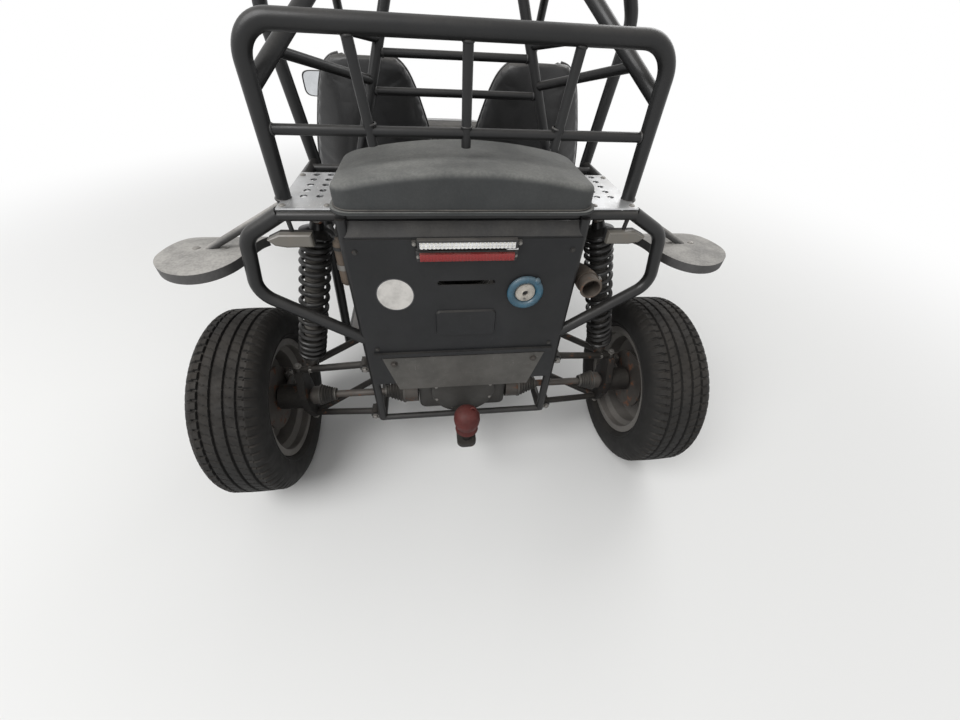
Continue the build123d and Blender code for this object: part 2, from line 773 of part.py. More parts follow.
def rear_arms():
    inner_x = POST_HALF + SIDE_TUBE_R + ARM_R + 2
    upper = arm((REAR_PIVOT_X, 8, REAR_UPPER_Z), [(inner_x, -40, ARM_RAIL_Z), (inner_x, 110, ARM_RAIL_Z)])
    lower = arm((REAR_PIVOT_X, 0, REAR_LOWER_Z), [(inner_x, -45, FLOOR_Z), (inner_x, 120, FLOOR_Z)])
    return upper, lower


def front_arms():
    inner_x = NOSE_HALF + SIDE_TUBE_R + ARM_R + 2
    y = FRONT_AXLE_Y
    upper = arm((KINGPIN_X, y, FRONT_UPPER_Z), [(inner_x, y - 90, NOSE_TOP_Z), (inner_x, y + 90, NOSE_TOP_Z)])
    lower = arm((KINGPIN_X, y, FRONT_LOWER_Z), [(inner_x, y - 75, NOSE_LOW_Z), (inner_x, y + 90, NOSE_LOW_Z)])
    x, foot_y, z = FRONT_SHOCK_FOOT
    upper = upper + bar((x, foot_y - 32, z - 6), (x, foot_y + 32, z - 6), ARM_R - 1)
    pins = bar((KINGPIN_X, y, FRONT_LOWER_Z - 50), (KINGPIN_X, y, FRONT_UPPER_Z + 50), PIN_R + PIN_GAP)
    return upper - pins, lower - pins


def engine_block():
    """Gearbox case, crankcase, finned barrel and head, in one casting."""
    low = FLOOR_Z + CROSS_TUBE_R - 1
    case = block((-CASE_HALF, -48, low), (CASE_HALF, 240, CASE_TOP))
    case = fillet(case.edges().filter_by(Axis.Z), 24)
    crank = block((-BLOCK_HALF, 40, CASE_TOP - 30), (BLOCK_HALF, 240, BLOCK_TOP))
    crank = fillet(crank.edges().filter_by(Axis.Z), 30)
    engine = case + crank + bar((0, CRADLE_Y, BLOCK_TOP - 1), (0, CRADLE_Y, HEAD_LOW + 1), BARREL_R)
    for z in range(BLOCK_TOP + 14, HEAD_LOW - 8, 20):
        engine = engine + bar((0, CRADLE_Y, z), (0, CRADLE_Y, z + 6), FIN_R)
    head = block((-HEAD_HALF, 70, HEAD_LOW), (HEAD_HALF, 230, HEAD_TOP))
    return engine + fillet(head.edges().filter_by(Axis.Z), 20)


def exhaust():
    """Silencer pipe from the head to an open end that points back."""
    route = [
        (HEAD_HALF - 20, CRADLE_Y, HEAD_LOW + 32),
        (255, 60, PIPE_Z - 10),
        (PIPE_X, -30, PIPE_Z),
        (PIPE_X, PIPE_END, PIPE_Z),
    ]
    bore = bar((PIPE_X, PIPE_END + 45, PIPE_Z), (PIPE_X, PIPE_END - 20, PIPE_Z), PIPE_R - PIPE_WALL)
    return tube(route, PIPE_R, 62) - bore


def plate_bolts():
    """The two bolt holes through the plate and the panel behind it."""
    x, y, z = PLATE_BOLT_X, PANEL_Y, PLATE_BOLT_Z
    return both(bar((x, y - 20, z), (x, y + 20, z), PLATE_BOLT_R))


def tail_panel():
    """Flat panel behind the engine with folded edges, a slot, a raised field and a lip."""
    back = PANEL_Y
    panel = block((-PANEL_HALF, back, PANEL_LOW), (PANEL_HALF, back + PANEL_SHEET, PANEL_TOP))
    lip_half, lip_z = PLATE_TOP_HALF + 20, PLATE_TOP + 16
    panel = panel + block((-lip_half, back - PANEL_LIP, lip_z), (lip_half, back, lip_z + PANEL_SHEET))
    panel = panel + block((-lip_half, back - PANEL_LIP, lip_z - 8), (lip_half, back - PANEL_LIP + 2, lip_z))
    slot_face = Plane(origin=(0, back + 20, SLOT_Z), x_dir=(1, 0, 0), z_dir=(0, -1, 0))
    slot = extrude(slot_face * SlotOverall(144, 13), 40)
    field_face = Plane(origin=(0, back, FIELD_Z), x_dir=(1, 0, 0), z_dir=(0, -1, 0))
    field = extrude(field_face * RectangleRounded(160, 82, 14), 6, taper=25)
    return panel + field - slot - plate_bolts()


def lamp_bar(z, half_height, depth):
    """A long lamp across the tail panel, with its edges rounded."""
    lamp = block((-STRIP_HALF, PANEL_Y - depth, z - half_height), (STRIP_HALF, PANEL_Y, z + half_height))
    return fillet(lamp.edges().filter_by(Axis.X).group_by(Axis.Y)[0], 4)


def tail_disc():
    """Round ring on the panel, with a raised plug in its middle."""
    x, y, z = DISC_CENTRE
    ring = bar((x, y, z), (x, y - 12, z), DISC_R)
    ring = chamfer(ring.edges().group_by(Axis.Y)[0], 4)
    return ring - bar((x, y - 8, z), (x, y - 20, z), DISC_R * 0.68)


def plate_panel():
    """Narrowing bare plate at the foot of the tail panel."""
    corners = [
        # x, z
        (-PLATE_TOP_HALF, PLATE_TOP),
        (PLATE_TOP_HALF, PLATE_TOP),
        (PLATE_LOW_HALF, PLATE_LOW),
        (-PLATE_LOW_HALF, PLATE_LOW),
    ]
    plate = extrude(Plane.XZ * make_face(Polyline(*corners, close=True)), SHEET)
    return Pos(0, PANEL_Y, 0) * plate - plate_bolts()


def engine_cover():
    """Moulded lid with a crowned top, hollow below, on a flanged edge."""
    depth = COVER_FRONT - COVER_REAR
    middle = (COVER_FRONT + COVER_REAR) / 2
    foot = Pos(0, middle, COVER_LOW)
    lid = extrude(foot * RectangleRounded(2 * COVER_HALF, depth, 45), COVER_CROWN - COVER_LOW)
    crown_r = (COVER_HALF ** 2 + CROWN_RISE ** 2) / (2 * CROWN_RISE)
    dome_z = COVER_CROWN - crown_r
    dome = bar((0, COVER_REAR - 50, dome_z), (0, COVER_FRONT + 50, dome_z), crown_r)
    lid = lid & dome
    lid = fillet(lid.edges().filter_by_position(Axis.Z, COVER_LOW + 10, COVER_CROWN + 5), 16)
    inside = extrude(foot * RectangleRounded(2 * COVER_HALF - 8, depth - 8, 41), 40)
    flange = extrude(foot * RectangleRounded(2 * COVER_HALF + 16, depth + 16, 50), 6)
    return lid + flange - inside


def deck_plate():
    """Drilled plate between the engine cover and the deck rail."""
    low = DECK_Z + SIDE_TUBE_R - 0.5
    plate = block((POST_HALF - 4, DECK_END, low), (DECK_HALF + 2, COVER_FRONT + 4, COVER_LOW))
    for x in (POST_HALF + 53, DECK_HALF - 40):
        for y in range(10, 160, 36):
            plate = plate - bar((x, y, DECK_Z), (x, y, DECK_Z + 40), 8)
    return plate


def indicator():
    """Flat lamp under the deck bar, pointed at its outer end, with its stem."""
    middle = DECK_HALF - 15
    outline = [
        # x, z
        (DECK_HALF - 58, DECK_Z - 67),
        (DECK_HALF - 58, DECK_Z - 37),
        (DECK_HALF + 10, DECK_Z - 36),
        (DECK_HALF + 38, DECK_Z - 49),
        (DECK_HALF + 24, DECK_Z - 63),
        (DECK_HALF, DECK_Z - 68),
    ]
    lamp = extrude(Plane.XZ * make_face(Polyline(*outline, close=True)), 28)
    lamp = Pos(0, DECK_END + 16, 0) * lamp
    return lamp + bar((middle, DECK_END, DECK_Z - 45), (middle, DECK_END, DECK_Z), 6)


def tow_hitch():
    """Flat drawbar under the tail with the pin and ball."""
    y, z = BALL_CENTRE[1:]
    low = FLOOR_Z + CROSS_TUBE_R - 1
    beam = block((-DRAWBAR_HALF, y - 28, low), (DRAWBAR_HALF, POST_Y + 14, low + 14))
    beam = fillet(beam.edges().filter_by(Axis.Z).group_by(Axis.Y)[0], 20)
    for x in (-DRAWBAR_BOLT_X, DRAWBAR_BOLT_X):
        beam = beam - bar((x, POST_Y - 40, low - 50), (x, POST_Y - 40, low + 50), DRAWBAR_BOLT_R)
    return beam + bar((0, y, low), (0, y, z), 14) + ball((0, y, z), BALL_R)


def ball_cap():
    """Soft round cap over the ball."""
    y, z = BALL_CENTRE[1:]
    cap = bar((0, y, z - 32), (0, y, z + 14), BALL_COVER_R) + ball((0, y, z + 14), BALL_COVER_R)
    return cap - bar((0, y, z - 60), (0, y, z), BALL_R)


def seat():
    """High-backed bucket seat, lofted up from the cushion's edge to the top of the head rest."""
    faces = []
    for front_y, front_z, back_y, back_z, half, bolster in SEAT_SECTIONS:
        out = Vector(0, front_y - back_y, front_z - back_z)
        deep = out.length / 2
        plane = Plane(
            origin=(0, (front_y + back_y) / 2, (front_z + back_z) / 2),
            x_dir=(1, 0, 0),
            z_dir=Vector(1, 0, 0).cross(out),
        )
        right = [
            # share of the half width, height above the middle
            (0.88, -deep),
            (1, -deep * 0.3),
            (1, deep + bolster * 0.5),
            (0.8, deep + bolster),
            (0.5, deep),
        ]
        outline = [(share * half, height) for share, height in right]
        outline = outline + [(-x, height) for x, height in reversed(outline)]
        faces.append(plane * make_face(Polyline(*outline, close=True)))
    floor = block((-500, 0, PAN_TOP), (500, 2000, 2000))
    return Pos(SEAT_X, 0, 0) * (loft(faces, ruled=True) & floor)


def dashboard():
    """Bent sheet below the screen bar."""
    section = Polyline(*[(PILLAR_Y + y, PILLAR_Z + z) for y, z in DASH_SECTION])
    return extrude(Plane.YZ * trace(section, 4), DASH_HALF, both=True)


def hood_loft(trim):
    """The hood's outer form, or with a trim its inner one, open below."""
    faces = []
    for y, half, low, high in HOOD_SECTIONS:
        height = high - low - trim
        plane = Plane(origin=(0, FRONT_AXLE_Y + y, low + height / 2), x_dir=(1, 0, 0), z_dir=(0, 1, 0))
        faces.append(plane * RectangleRounded(2 * (half - trim), height, 44))
    return loft(faces, ruled=True)


def nose_body():
    """Tapered hood over the nose frame, open below and behind."""
    inner = Pos(0, -HOOD_WALL, 0) * hood_loft(HOOD_WALL)
    front = FRONT_AXLE_Y + HOOD_SECTIONS[-1][0] - 10
    below = block((-500, PILLAR_Y - 50, 300), (500, front, HOOD_SECTIONS[-1][2]))
    return hood_loft(0) - inner - below


def headlight():
    """Round lamp on a stem over the bumper."""
    x, y, z = LAMP_CENTRE
    shell = bar((x, y - 60, z), (x, y + 30, z), LAMP_R)
    shell = fillet(shell.edges().filter_by_position(Axis.Y, y - 62, y - 58), LAMP_R / 2)
    return shell + bar((x, y, z - LAMP_R + 10), (x, BUMPER_Y, BUMPER_TOP_Z), THIN_TUBE_R)


def front_bumper():
    """Two bent bars and two uprights at the nose, with a tow eye below."""
    frame = None
    for z, root in ((BUMPER_TOP_Z, NOSE_TOP_Z), (BUMPER_LOW_Z, NOSE_LOW_Z)):
        side = [(NOSE_HALF, NOSE_END, root), (BUMPER_HALF, BUMPER_Y, z)]
        loop = tube(side + [(-x, y, z) for x, y, z in reversed(side)], MAIN_TUBE_R, 70)
        frame = loop if frame is None else frame + loop
    for x in (-BUMPER_POST_X, BUMPER_POST_X):
        frame = frame + bar((x, BUMPER_Y, BUMPER_LOW_Z), (x, BUMPER_Y, BUMPER_TOP_Z), THIN_TUBE_R)
    eye_z = BUMPER_LOW_Z - MAIN_TUBE_R - TOW_EYE_R - 5
    frame = frame + bar((-5, BUMPER_Y, eye_z), (5, BUMPER_Y, eye_z), 2 * TOW_EYE_R)
    return frame - bar((-6, BUMPER_Y, eye_z), (6, BUMPER_Y, eye_z), TOW_EYE_R)


def mirror_arm():
    """Door mirror with its arm on the front pillar."""
    x, y, z = MIRROR_CENTRE
    shell = Pos(x + 40, y, z) * Rot(90, 0, 0) * extrude(RectangleRounded(150, 100, 30), 16, both=True)
    return shell + bar(pillar_point(z - 35), (x, y, z), 7)


def pedals():
    """Three hanging levers' pads on posts from the floor."""
    shapes = []
    for x in PEDALS:
        pad = block((x - 25, PEDAL_Y, 360), (x + 25, PEDAL_Y + 8, 430))
        pad = fillet(pad.edges().filter_by(Axis.Y), 8)
        shapes.append(pad + bar((x, PEDAL_Y + 30, PAN_TOP - 1), (x, PEDAL_Y + 6, 380), 7))
    return Compound(children=shapes)


def wheel_set():
    """Tyres and rims at the four corners."""
    corners = [
        # name, hub, tyre radius, tyre width, side
        ("rear_right", REAR_HUB, REAR_TYRE_R, REAR_TYRE_WIDTH, 1),
        ("rear_left", (-REAR_HUB[0], *REAR_HUB[1:]), REAR_TYRE_R, REAR_TYRE_WIDTH, -1),
        ("front_right", FRONT_HUB, FRONT_TYRE_R, FRONT_TYRE_WIDTH, 1),
        ("front_left", (-FRONT_HUB[0], *FRONT_HUB[1:]), FRONT_TYRE_R, FRONT_TYRE_WIDTH, -1),
    ]
    for name, hub, radius, width, side in corners:
        keep("rim_" + name, rim(hub, width, side))
        keep("tyre_" + name, tyre(hub, radius, width), "rim_" + name)


wheel_set()

keep("floor_frame", frame_floor())
keep("main_hoop", main_hoop(), "floor_frame")
keep("cage_sides", both(cage_side()), "main_hoop", "floor_frame")
keep("cage_bars", Compound(children=cage_bars()), "cage_sides")
keep("door_bars", both(door_bar()), "main_hoop", "cage_sides")
keep("nose_frame", nose_frame(), "floor_frame", "cage_sides")
keep("rear_frame", rear_frame(), "main_hoop", "floor_frame")
keep("rear_stays", rear_stays(), "main_hoop", "rear_frame")
keep("tail_hoop", tail_hoop(), "rear_frame")
keep("outer_stays", both(outer_stay()), "main_hoop", "tail_hoop", "rear_stays")
keep("side_guards", both(side_guard()), "rear_frame", "tail_hoop")

pan = block((-FLOOR_HALF, HOOP_Y + 20, PAN_TOP - SHEET), (FLOOR_HALF, FLOOR_END - 20, PAN_TOP))
keep("floor_pan", pan, "main_hoop", "cage_sides", "floor_frame", "nose_frame")
keep("seats", both(seat()))
keep("dashboard", dashboard(), "cage_bars", "cage_sides")
keep("steering_column", steering_column(), "cage_bars", "nose_frame", "dashboard")
keep("steering_wheel", steering_wheel())
keep("pedals", pedals(), "floor_pan")
keep("mirrors", both(mirror_arm()), "cage_sides")

keep("rear_arms", Compound(children=[s for a in rear_arms() for s in both(a).solids()]), "rear_frame")
keep("rear_hub_carriers", both(rear_carrier()), "rear_arms")
keep("rear_shocks", both(shock(SHOCK_TOP, SHOCK_FOOT, SPRING_R)), "rear_frame", "rear_arms")
shaft = half_shaft()
keep("half_shaft_right", shaft, "rim_rear_right")
keep("half_shaft_left", flip(shaft), "rim_rear_left")
keep("engine_block", engine_block(), "rear_frame")
keep("exhaust", exhaust(), "engine_block")

keep("front_arms", Compound(children=[s for a in front_arms() for s in both(a).solids()]), "nose_frame")
front_shock = shock(FRONT_SHOCK_TOP, FRONT_SHOCK_FOOT, FRONT_SPRING_R)
keep("front_shocks", both(front_shock), "nose_frame", "front_arms")
keep("knuckle_right", knuckle())
keep("knuckle_left", flip(PIECES["knuckle_right"]))
keep("front_mudguard_right", front_mudguard(), "knuckle_right")
keep("front_mudguard_left", flip(PIECES["front_mudguard_right"]))
brake = front_brake()
keep("front_brake_right", brake, "rim_front_right")
keep("front_brake_left", flip(brake), "rim_front_left")
keep("steering_rack", steering_rack())

keep("tail_panel", tail_panel(), "rear_frame", "side_guards")
keep("plate_panel", plate_panel())
keep("engine_cover", engine_cover(), "rear_frame", "rear_stays")
keep("deck_plates", both(deck_plate()), "tail_hoop", "side_guards", "rear_frame", "rear_stays")
keep("rear_mudguards", both(rear_mudguard()), "rear_frame", "deck_plates")
keep("rear_indicators", both(indicator()), "rear_frame", "side_guards")
keep("light_strip", lamp_bar(STRIP_Z, 9, 18))
keep("red_lamp", lamp_bar(RED_LAMP_Z, 11, 16))
keep("tail_disc", tail_disc())
keep("tow_hitch", tow_hitch(), "rear_frame")
keep("ball_cap", ball_cap(), "tow_hitch")

keep("front_bumper", front_bumper(), "nose_frame")
keep("headlights", both(headlight()), "front_bumper")
keep("nose_body", nose_body(), "nose_frame", "cage_sides", "cage_bars", "dashboard", "headlights")

if __name__ == "__main__":
    os.makedirs("parts", exist_ok=True)
    shift = Pos(0, -(WHEELBASE + FRONT_REACH - REAR_TYRE_R) / 2, 0)
    for node, piece in PIECES.items():
        export_step(shift * piece, "parts/" + node + ".step")
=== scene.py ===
import math

import bmesh
import bpy
import numpy as np
from bpy.props import FloatProperty, FloatVectorProperty, IntProperty, PointerProperty
from mathutils import Matrix, Vector
from mathutils.kdtree import KDTree


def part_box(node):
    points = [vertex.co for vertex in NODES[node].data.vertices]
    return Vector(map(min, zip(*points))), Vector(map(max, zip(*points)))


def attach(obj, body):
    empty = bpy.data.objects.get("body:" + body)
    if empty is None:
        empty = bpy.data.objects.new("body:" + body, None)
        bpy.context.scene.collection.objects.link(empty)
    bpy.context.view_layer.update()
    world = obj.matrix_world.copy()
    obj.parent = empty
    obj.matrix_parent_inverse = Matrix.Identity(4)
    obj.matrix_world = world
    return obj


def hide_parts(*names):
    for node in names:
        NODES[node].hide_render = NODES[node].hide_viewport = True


bl_info = {
    "name": "Dune Buggy",
    "version": (1, 0, 0),
    "blender": (4, 5, 0),
    "location": "View3D > Sidebar > Buggy",
    "description": "Dresses a two-seat tube-frame buggy: paint, tyres, springs, seats, lamps and fittings",
    "category": "Object",
}

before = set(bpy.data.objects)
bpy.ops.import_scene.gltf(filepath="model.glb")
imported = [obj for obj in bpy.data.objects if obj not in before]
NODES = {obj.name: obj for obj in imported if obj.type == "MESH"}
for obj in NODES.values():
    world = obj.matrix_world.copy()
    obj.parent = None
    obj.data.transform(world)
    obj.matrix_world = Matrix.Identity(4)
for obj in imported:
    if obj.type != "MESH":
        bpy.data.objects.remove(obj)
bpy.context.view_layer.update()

# Places are written as on the drawing: millimetres from the middle of the rear axle, and up from the floor.
LOW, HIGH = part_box("tyre_rear_left")
AXLE_Y = (LOW.y + HIGH.y) / 2
MM = 0.001
SIDES = (("left", -1), ("right", 1))
BACK, AHEAD, UP, ACROSS = (0, -1, 0), (0, 1, 0), (0, 0, 1), (1, 0, 0)


def at(x, y, z):
    """A point of the drawing, in metres in the shared frame."""
    return Vector((x * MM, y * MM + AXLE_Y, z * MM))


def placed(name, data):
    """A new object in the scene."""
    obj = bpy.data.objects.new(name, data)
    bpy.context.scene.collection.objects.link(obj)
    return obj


def squarish(values, power):
    """Cosines or sines of a circle, pushed out towards a square."""
    return np.copysign(np.abs(values) ** power, values)


# Meshes
JOIN_DISTANCE = 2e-6
WASHER = 1.4  # millimetres thick
COIL_STEPS = 28  # points round one turn of a spring
CLOSED_ENDS = 0.055  # how much a spring's end turns close up


class Build:
    """One piece in the making: simple forms, each with its finish."""

    def __init__(self):
        self.points, self.faces, self.finishes, self.slots = [], [], [], []

    def add(self, points, faces, finish):
        """Faces over points of their own."""
        start = len(self.points)
        if finish not in self.finishes:
            self.finishes.append(finish)
        slot = self.finishes.index(finish)
        self.points.extend(tuple(p) for p in points)
        self.faces.extend(tuple(start + i for i in face) for face in faces)
        self.slots.extend([slot] * len(faces))

    def cap(self, ring, finish):
        """One face over a ring of points."""
        self.add(ring, [tuple(range(len(ring)))], finish)

    def grid(self, rows, finish, around=True, along=False):
        """Faces between rows of points; the rows may close round, and the last may meet the first."""
        rows = np.asarray(rows, float)
        count, width = rows.shape[:2]
        faces = []
        for i in range(count if along else count - 1):
            j = (i + 1) % count
            for k in range(width if around else width - 1):
                m = (k + 1) % width
                faces.append((i * width + k, i * width + m, j * width + m, j * width + k))
        self.add(rows.reshape(-1, 3), faces, finish)

    def lathe(self, outline, centre, axis, finish, steps=40):
        """Turn an outline of (along, radius) points in millimetres round an axis."""
        basis = np.array(Vector(axis).to_track_quat("Z", "Y").to_matrix())
        angles = np.linspace(0, 2 * math.pi, steps, endpoint=False)
        circle = np.stack([np.cos(angles), np.sin(angles)], 1)
        rows = []
        for along, radius in outline:
            local = np.column_stack([circle * radius, np.full(steps, along)]) * MM
            rows.append(local @ basis.T + np.array(centre))
        self.grid(rows, finish)

    def band(self, along, radii, centre, axis, finish, steps=40):
        """Turn a plain band round an axis: its two places along it, and its inner and outer radius."""
        (low, high), (inner, outer) = along, radii
        self.lathe([(low, inner), (low, outer), (high, outer), (high, inner)], centre, axis, finish, steps)

    def tube(self, points, radius, finish, steps=14, closed=False):
        """A round tube of a radius in millimetres along a smooth run of points."""
        path = np.asarray([tuple(p) for p in points], float)
        ahead = np.roll(path, -1, 0) - np.roll(path, 1, 0)
        if not closed:
            ahead[0], ahead[-1] = path[1] - path[0], path[-1] - path[-2]
        ahead /= np.linalg.norm(ahead, axis=1)[:, None]
        side = np.cross(ahead[0], (0.31, 0.55, 0.77))
        rows = []
        angles = np.linspace(0, 2 * math.pi, steps, endpoint=False)
        for point, forward in zip(path, ahead):
            side = side - forward * (side @ forward)
            side /= np.linalg.norm(side)
            other = np.cross(forward, side)
            circle = np.outer(np.cos(angles), side) + np.outer(np.sin(angles), other)
            rows.append(point + radius * MM * circle)
        self.grid(rows, finish, along=closed)
        if not closed:
            self.cap(rows[0], finish)
            self.cap(rows[-1], finish)

    def brick(self, low, high, finish, bevel=2.0, turn=None, about=None):
        """A box between two drawn corners with rounded edges, which may be turned about a point."""
        mesh = bmesh.new()
        bmesh.ops.create_cube(mesh, size=1)
        a, b = at(*low), at(*high)
        size, middle = b - a, (a + b) / 2
        for vert in mesh.verts:
            vert.co = Vector((vert.co.x * size.x, vert.co.y * size.y, vert.co.z * size.z))
        reach = min(bevel * MM, 0.45 * min(abs(s) for s in size))
        bmesh.ops.bevel(mesh, geom=mesh.edges[:], offset=reach, segments=2, affect="EDGES", profile=0.5)
        mesh.verts.index_update()
        pivot = middle if about is None else at(*about)
        points = []
        for vert in mesh.verts:
            point = vert.co + middle
            points.append(point if turn is None else turn @ (point - pivot) + pivot)
        self.add(points, [[v.index for v in f.verts] for f in mesh.faces], finish)
        mesh.free()

    def bolt(self, centre, axis, across, finish, height=None):
        """A hexagon head on its washer; across is the width over the flats in millimetres."""
        height = across * 0.62 if height is None else height
        corner, top = across / math.sqrt(3), height + WASHER
        self.band((0, WASHER), (0, across * 0.78), centre, axis, finish, 24)
        head = [
            (WASHER, 0), (WASHER, corner), (height * 0.82 + WASHER, corner), (top, corner * 0.84), (top, 0),
        ]
        self.lathe(head, centre, axis, finish, 6)

    def spring(self, low, high, radius, wire, turns, finish):
        """A coil between two points, with its end turns closed."""
        basis = (high - low).normalized().to_track_quat("Z", "Y").to_matrix()
        length = (high - low).length / MM
        steps = int(turns * COIL_STEPS)
        points = []
        for step in range(steps + 1):
            share = step / steps
            eased = share - CLOSED_ENDS * math.sin(2 * math.pi * share)
            angle = 2 * math.pi * turns * share
            rise = wire + (length - 2 * wire) * eased
            local = Vector((radius * math.cos(angle), radius * math.sin(angle), rise))
            points.append(low + basis @ (local * MM))
        self.tube(points, wire, finish, 9)

    def made_mesh(self, name):
        """The forms so far as one mesh, with doubled points joined and its faces turned out."""
        mesh = bpy.data.meshes.new(name)
        mesh.from_pydata(self.points, [], self.faces)
        for finish in self.finishes:
            mesh.materials.append(finish)
        mesh.polygons.foreach_set("material_index", self.slots)
        work = bmesh.new()
        work.from_mesh(mesh)
        bmesh.ops.remove_doubles(work, verts=work.verts[:], dist=JOIN_DISTANCE)
        bmesh.ops.recalc_face_normals(work, faces=work.faces[:])
        work.to_mesh(mesh)
        work.free()
        return mesh

    def piece(self, name, body, slot, smooth=38, flat=False):
        """Make the mesh, shade it and let it ride on its body."""
        mesh = self.made_mesh(name)
        if not flat:
            mesh.polygons.foreach_set("use_smooth", [True] * len(mesh.polygons))
            mesh.set_sharp_from_angle(angle=math.radians(smooth))
        obj = placed(name, mesh)
        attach(obj, body)
        return obj


# Materials
class Tree:
    """A node tree being wired: values are set and sockets are linked by name."""

    def __init__(self, tree):
        self.tree = tree

    def node(self, kind, settings=None, **inputs):
        """A node with its settings and its inputs."""
        made = self.tree.nodes.new(kind)
        for key, value in (settings or {}).items():
            setattr(made, key, value)
        for key, value in inputs.items():
            self.feed(made.inputs[key.replace("_", " ")], value)
        return made

    def feed(self, socket, value):
        """Link an output to a socket, or set the socket's own value."""
        if isinstance(value, bpy.types.NodeSocket):
            self.tree.links.new(value, socket)
        else:
            socket.default_value = value

    def maths(self, operation, first, second=0.0, clamp=False):
        """One sum of two numbers."""
        made = self.tree.nodes.new("ShaderNodeMath")
        made.operation, made.use_clamp = operation, clamp
        self.feed(made.inputs[0], first)
        self.feed(made.inputs[1], second)
        return made.outputs[0]

    def steps(self, value, low, high, to_low=0.0, to_high=1.0):
        """A smooth step from one number to another."""
        made = self.node("ShaderNodeMapRange", {"interpolation_type": "SMOOTHSTEP"})
        for socket, entry in zip(made.inputs[:5], (value, low, high, to_low, to_high)):
            self.feed(socket, entry)
        return made.outputs[0]

    def mix(self, share, first, second, kind="RGBA"):
        """A mix of two colours or two numbers."""
        made = self.tree.nodes.new("ShaderNodeMix")
        made.data_type = kind
        first_at = {"FLOAT": 2, "RGBA": 6}[kind]
        self.feed(made.inputs[0], share)
        self.feed(made.inputs[first_at], first)
        self.feed(made.inputs[first_at + 1], second)
        return made.outputs[{"FLOAT": 0, "RGBA": 2}[kind]]

    def noise(self, scale, detail=4.0, roughness=0.55, stretch=None):
        """Noise fixed to the object, which may be stretched."""
        place = self.node("ShaderNodeTexCoord").outputs["Object"]
        if stretch is not None:
            place = self.node("ShaderNodeMapping", Vector=place, Scale=stretch).outputs[0]
        made = self.node("ShaderNodeTexNoise", Vector=place, Scale=scale, Detail=detail, Roughness=roughness)
        return made.outputs[0]


def effect(name, inputs, outputs):
    """An empty node group with its named sockets; returns the tree, its inputs and its output node."""
    group = bpy.data.node_groups.new(name, "ShaderNodeTree")
    for label, kind, value in inputs:
        socket = group.interface.new_socket(name=label, in_out="INPUT", socket_type=kind)
        socket.default_value = value
    for label, kind in outputs:
        group.interface.new_socket(name=label, in_out="OUTPUT", socket_type=kind)
    tree = Tree(group)
    entry = group.nodes.new("NodeGroupInput").outputs
    return tree, entry, group.nodes.new("NodeGroupOutput").inputs


def make_dust():
    """Dust that lies on what faces up, in uneven patches."""
    tree, entry, out = effect(
        "Settled dust",
        [("Amount", "NodeSocketFloat", 0.5), ("Scale", "NodeSocketFloat", 9.0)],
        [("Mask", "NodeSocketFloat")],
    )
    normal = tree.node("ShaderNodeNewGeometry").outputs["Normal"]
    up = tree.node("ShaderNodeSeparateXYZ", Vector=normal).outputs["Z"]
    facing = tree.steps(up, 0.05, 0.95, 0.12, 1.0)
    patches = tree.steps(tree.noise(entry["Scale"], 6.0, 0.62), 0.3, 0.68, 0.35, 1.0)
    fine = tree.steps(tree.noise(160.0, 2.0), 0.3, 0.7, 0.75, 1.0)
    mask = tree.maths("MULTIPLY", tree.maths("MULTIPLY", facing, patches), fine)
    tree.feed(out["Mask"], tree.maths("MULTIPLY", mask, entry["Amount"], clamp=True))
    return tree.tree


def make_rust():
    """Rust in spots and blooms, with its own browns."""
    tree, entry, out = effect(
        "Rust",
        [("Amount", "NodeSocketFloat", 0.3), ("Scale", "NodeSocketFloat", 24.0)],
        [("Mask", "NodeSocketFloat"), ("Color", "NodeSocketColor")],
    )
    spots = tree.noise(entry["Scale"], 8.0, 0.7)
    limit = tree.maths("SUBTRACT", 0.78, tree.maths("MULTIPLY", entry["Amount"], 0.5))
    mask = tree.steps(spots, limit, tree.maths("ADD", limit, 0.09))
    tree.feed(out["Mask"], mask)
    browns = tree.node("ShaderNodeValToRGB", Fac=tree.noise(140.0, 5.0, 0.7))
    dark, light = browns.color_ramp.elements
    dark.position, dark.color = 0.3, (0.035, 0.014, 0.007, 1)
    light.position, light.color = 0.72, (0.20, 0.075, 0.03, 1)
    tree.feed(out["Color"], browns.outputs["Color"])
    return tree.tree


def make_grain():
    """The pitted grain of a moulding, as a height."""
    tree, entry, out = effect(
        "Moulded grain",
        [("Scale", "NodeSocketFloat", 700.0), ("Depth", "NodeSocketFloat", 1.0)],
        [("Height", "NodeSocketFloat")],
    )
    place = tree.node("ShaderNodeTexCoord").outputs["Object"]
    cells = tree.node("ShaderNodeTexVoronoi", Vector=place, Scale=entry["Scale"]).outputs["Distance"]
    waves = tree.noise(entry["Scale"], 3.0)
    tree.feed(out["Height"], tree.maths("MULTIPLY", tree.maths("ADD", cells, waves), entry["Depth"]))
    return tree.tree


def make_scuffs():
    """Fine scuffs and scratches in two directions."""
    tree, entry, out = effect("Scuffs", [("Amount", "NodeSocketFloat", 0.3)], [("Mask", "NodeSocketFloat")])
    limit = tree.maths("SUBTRACT", 0.74, tree.maths("MULTIPLY", entry["Amount"], 0.12))
    first = tree.steps(tree.noise(30.0, 3.0, 0.5, (22.0, 1.4, 1.1)), limit, tree.maths("ADD", limit, 0.03))
    second = tree.steps(tree.noise(30.0, 3.0, 0.5, (1.2, 1.4, 24.0)), limit, tree.maths("ADD", limit, 0.03))
    either = tree.maths("MAXIMUM", first, second)
    tree.feed(out["Mask"], tree.maths("MULTIPLY", either, entry["Amount"], clamp=True))
    return tree.tree


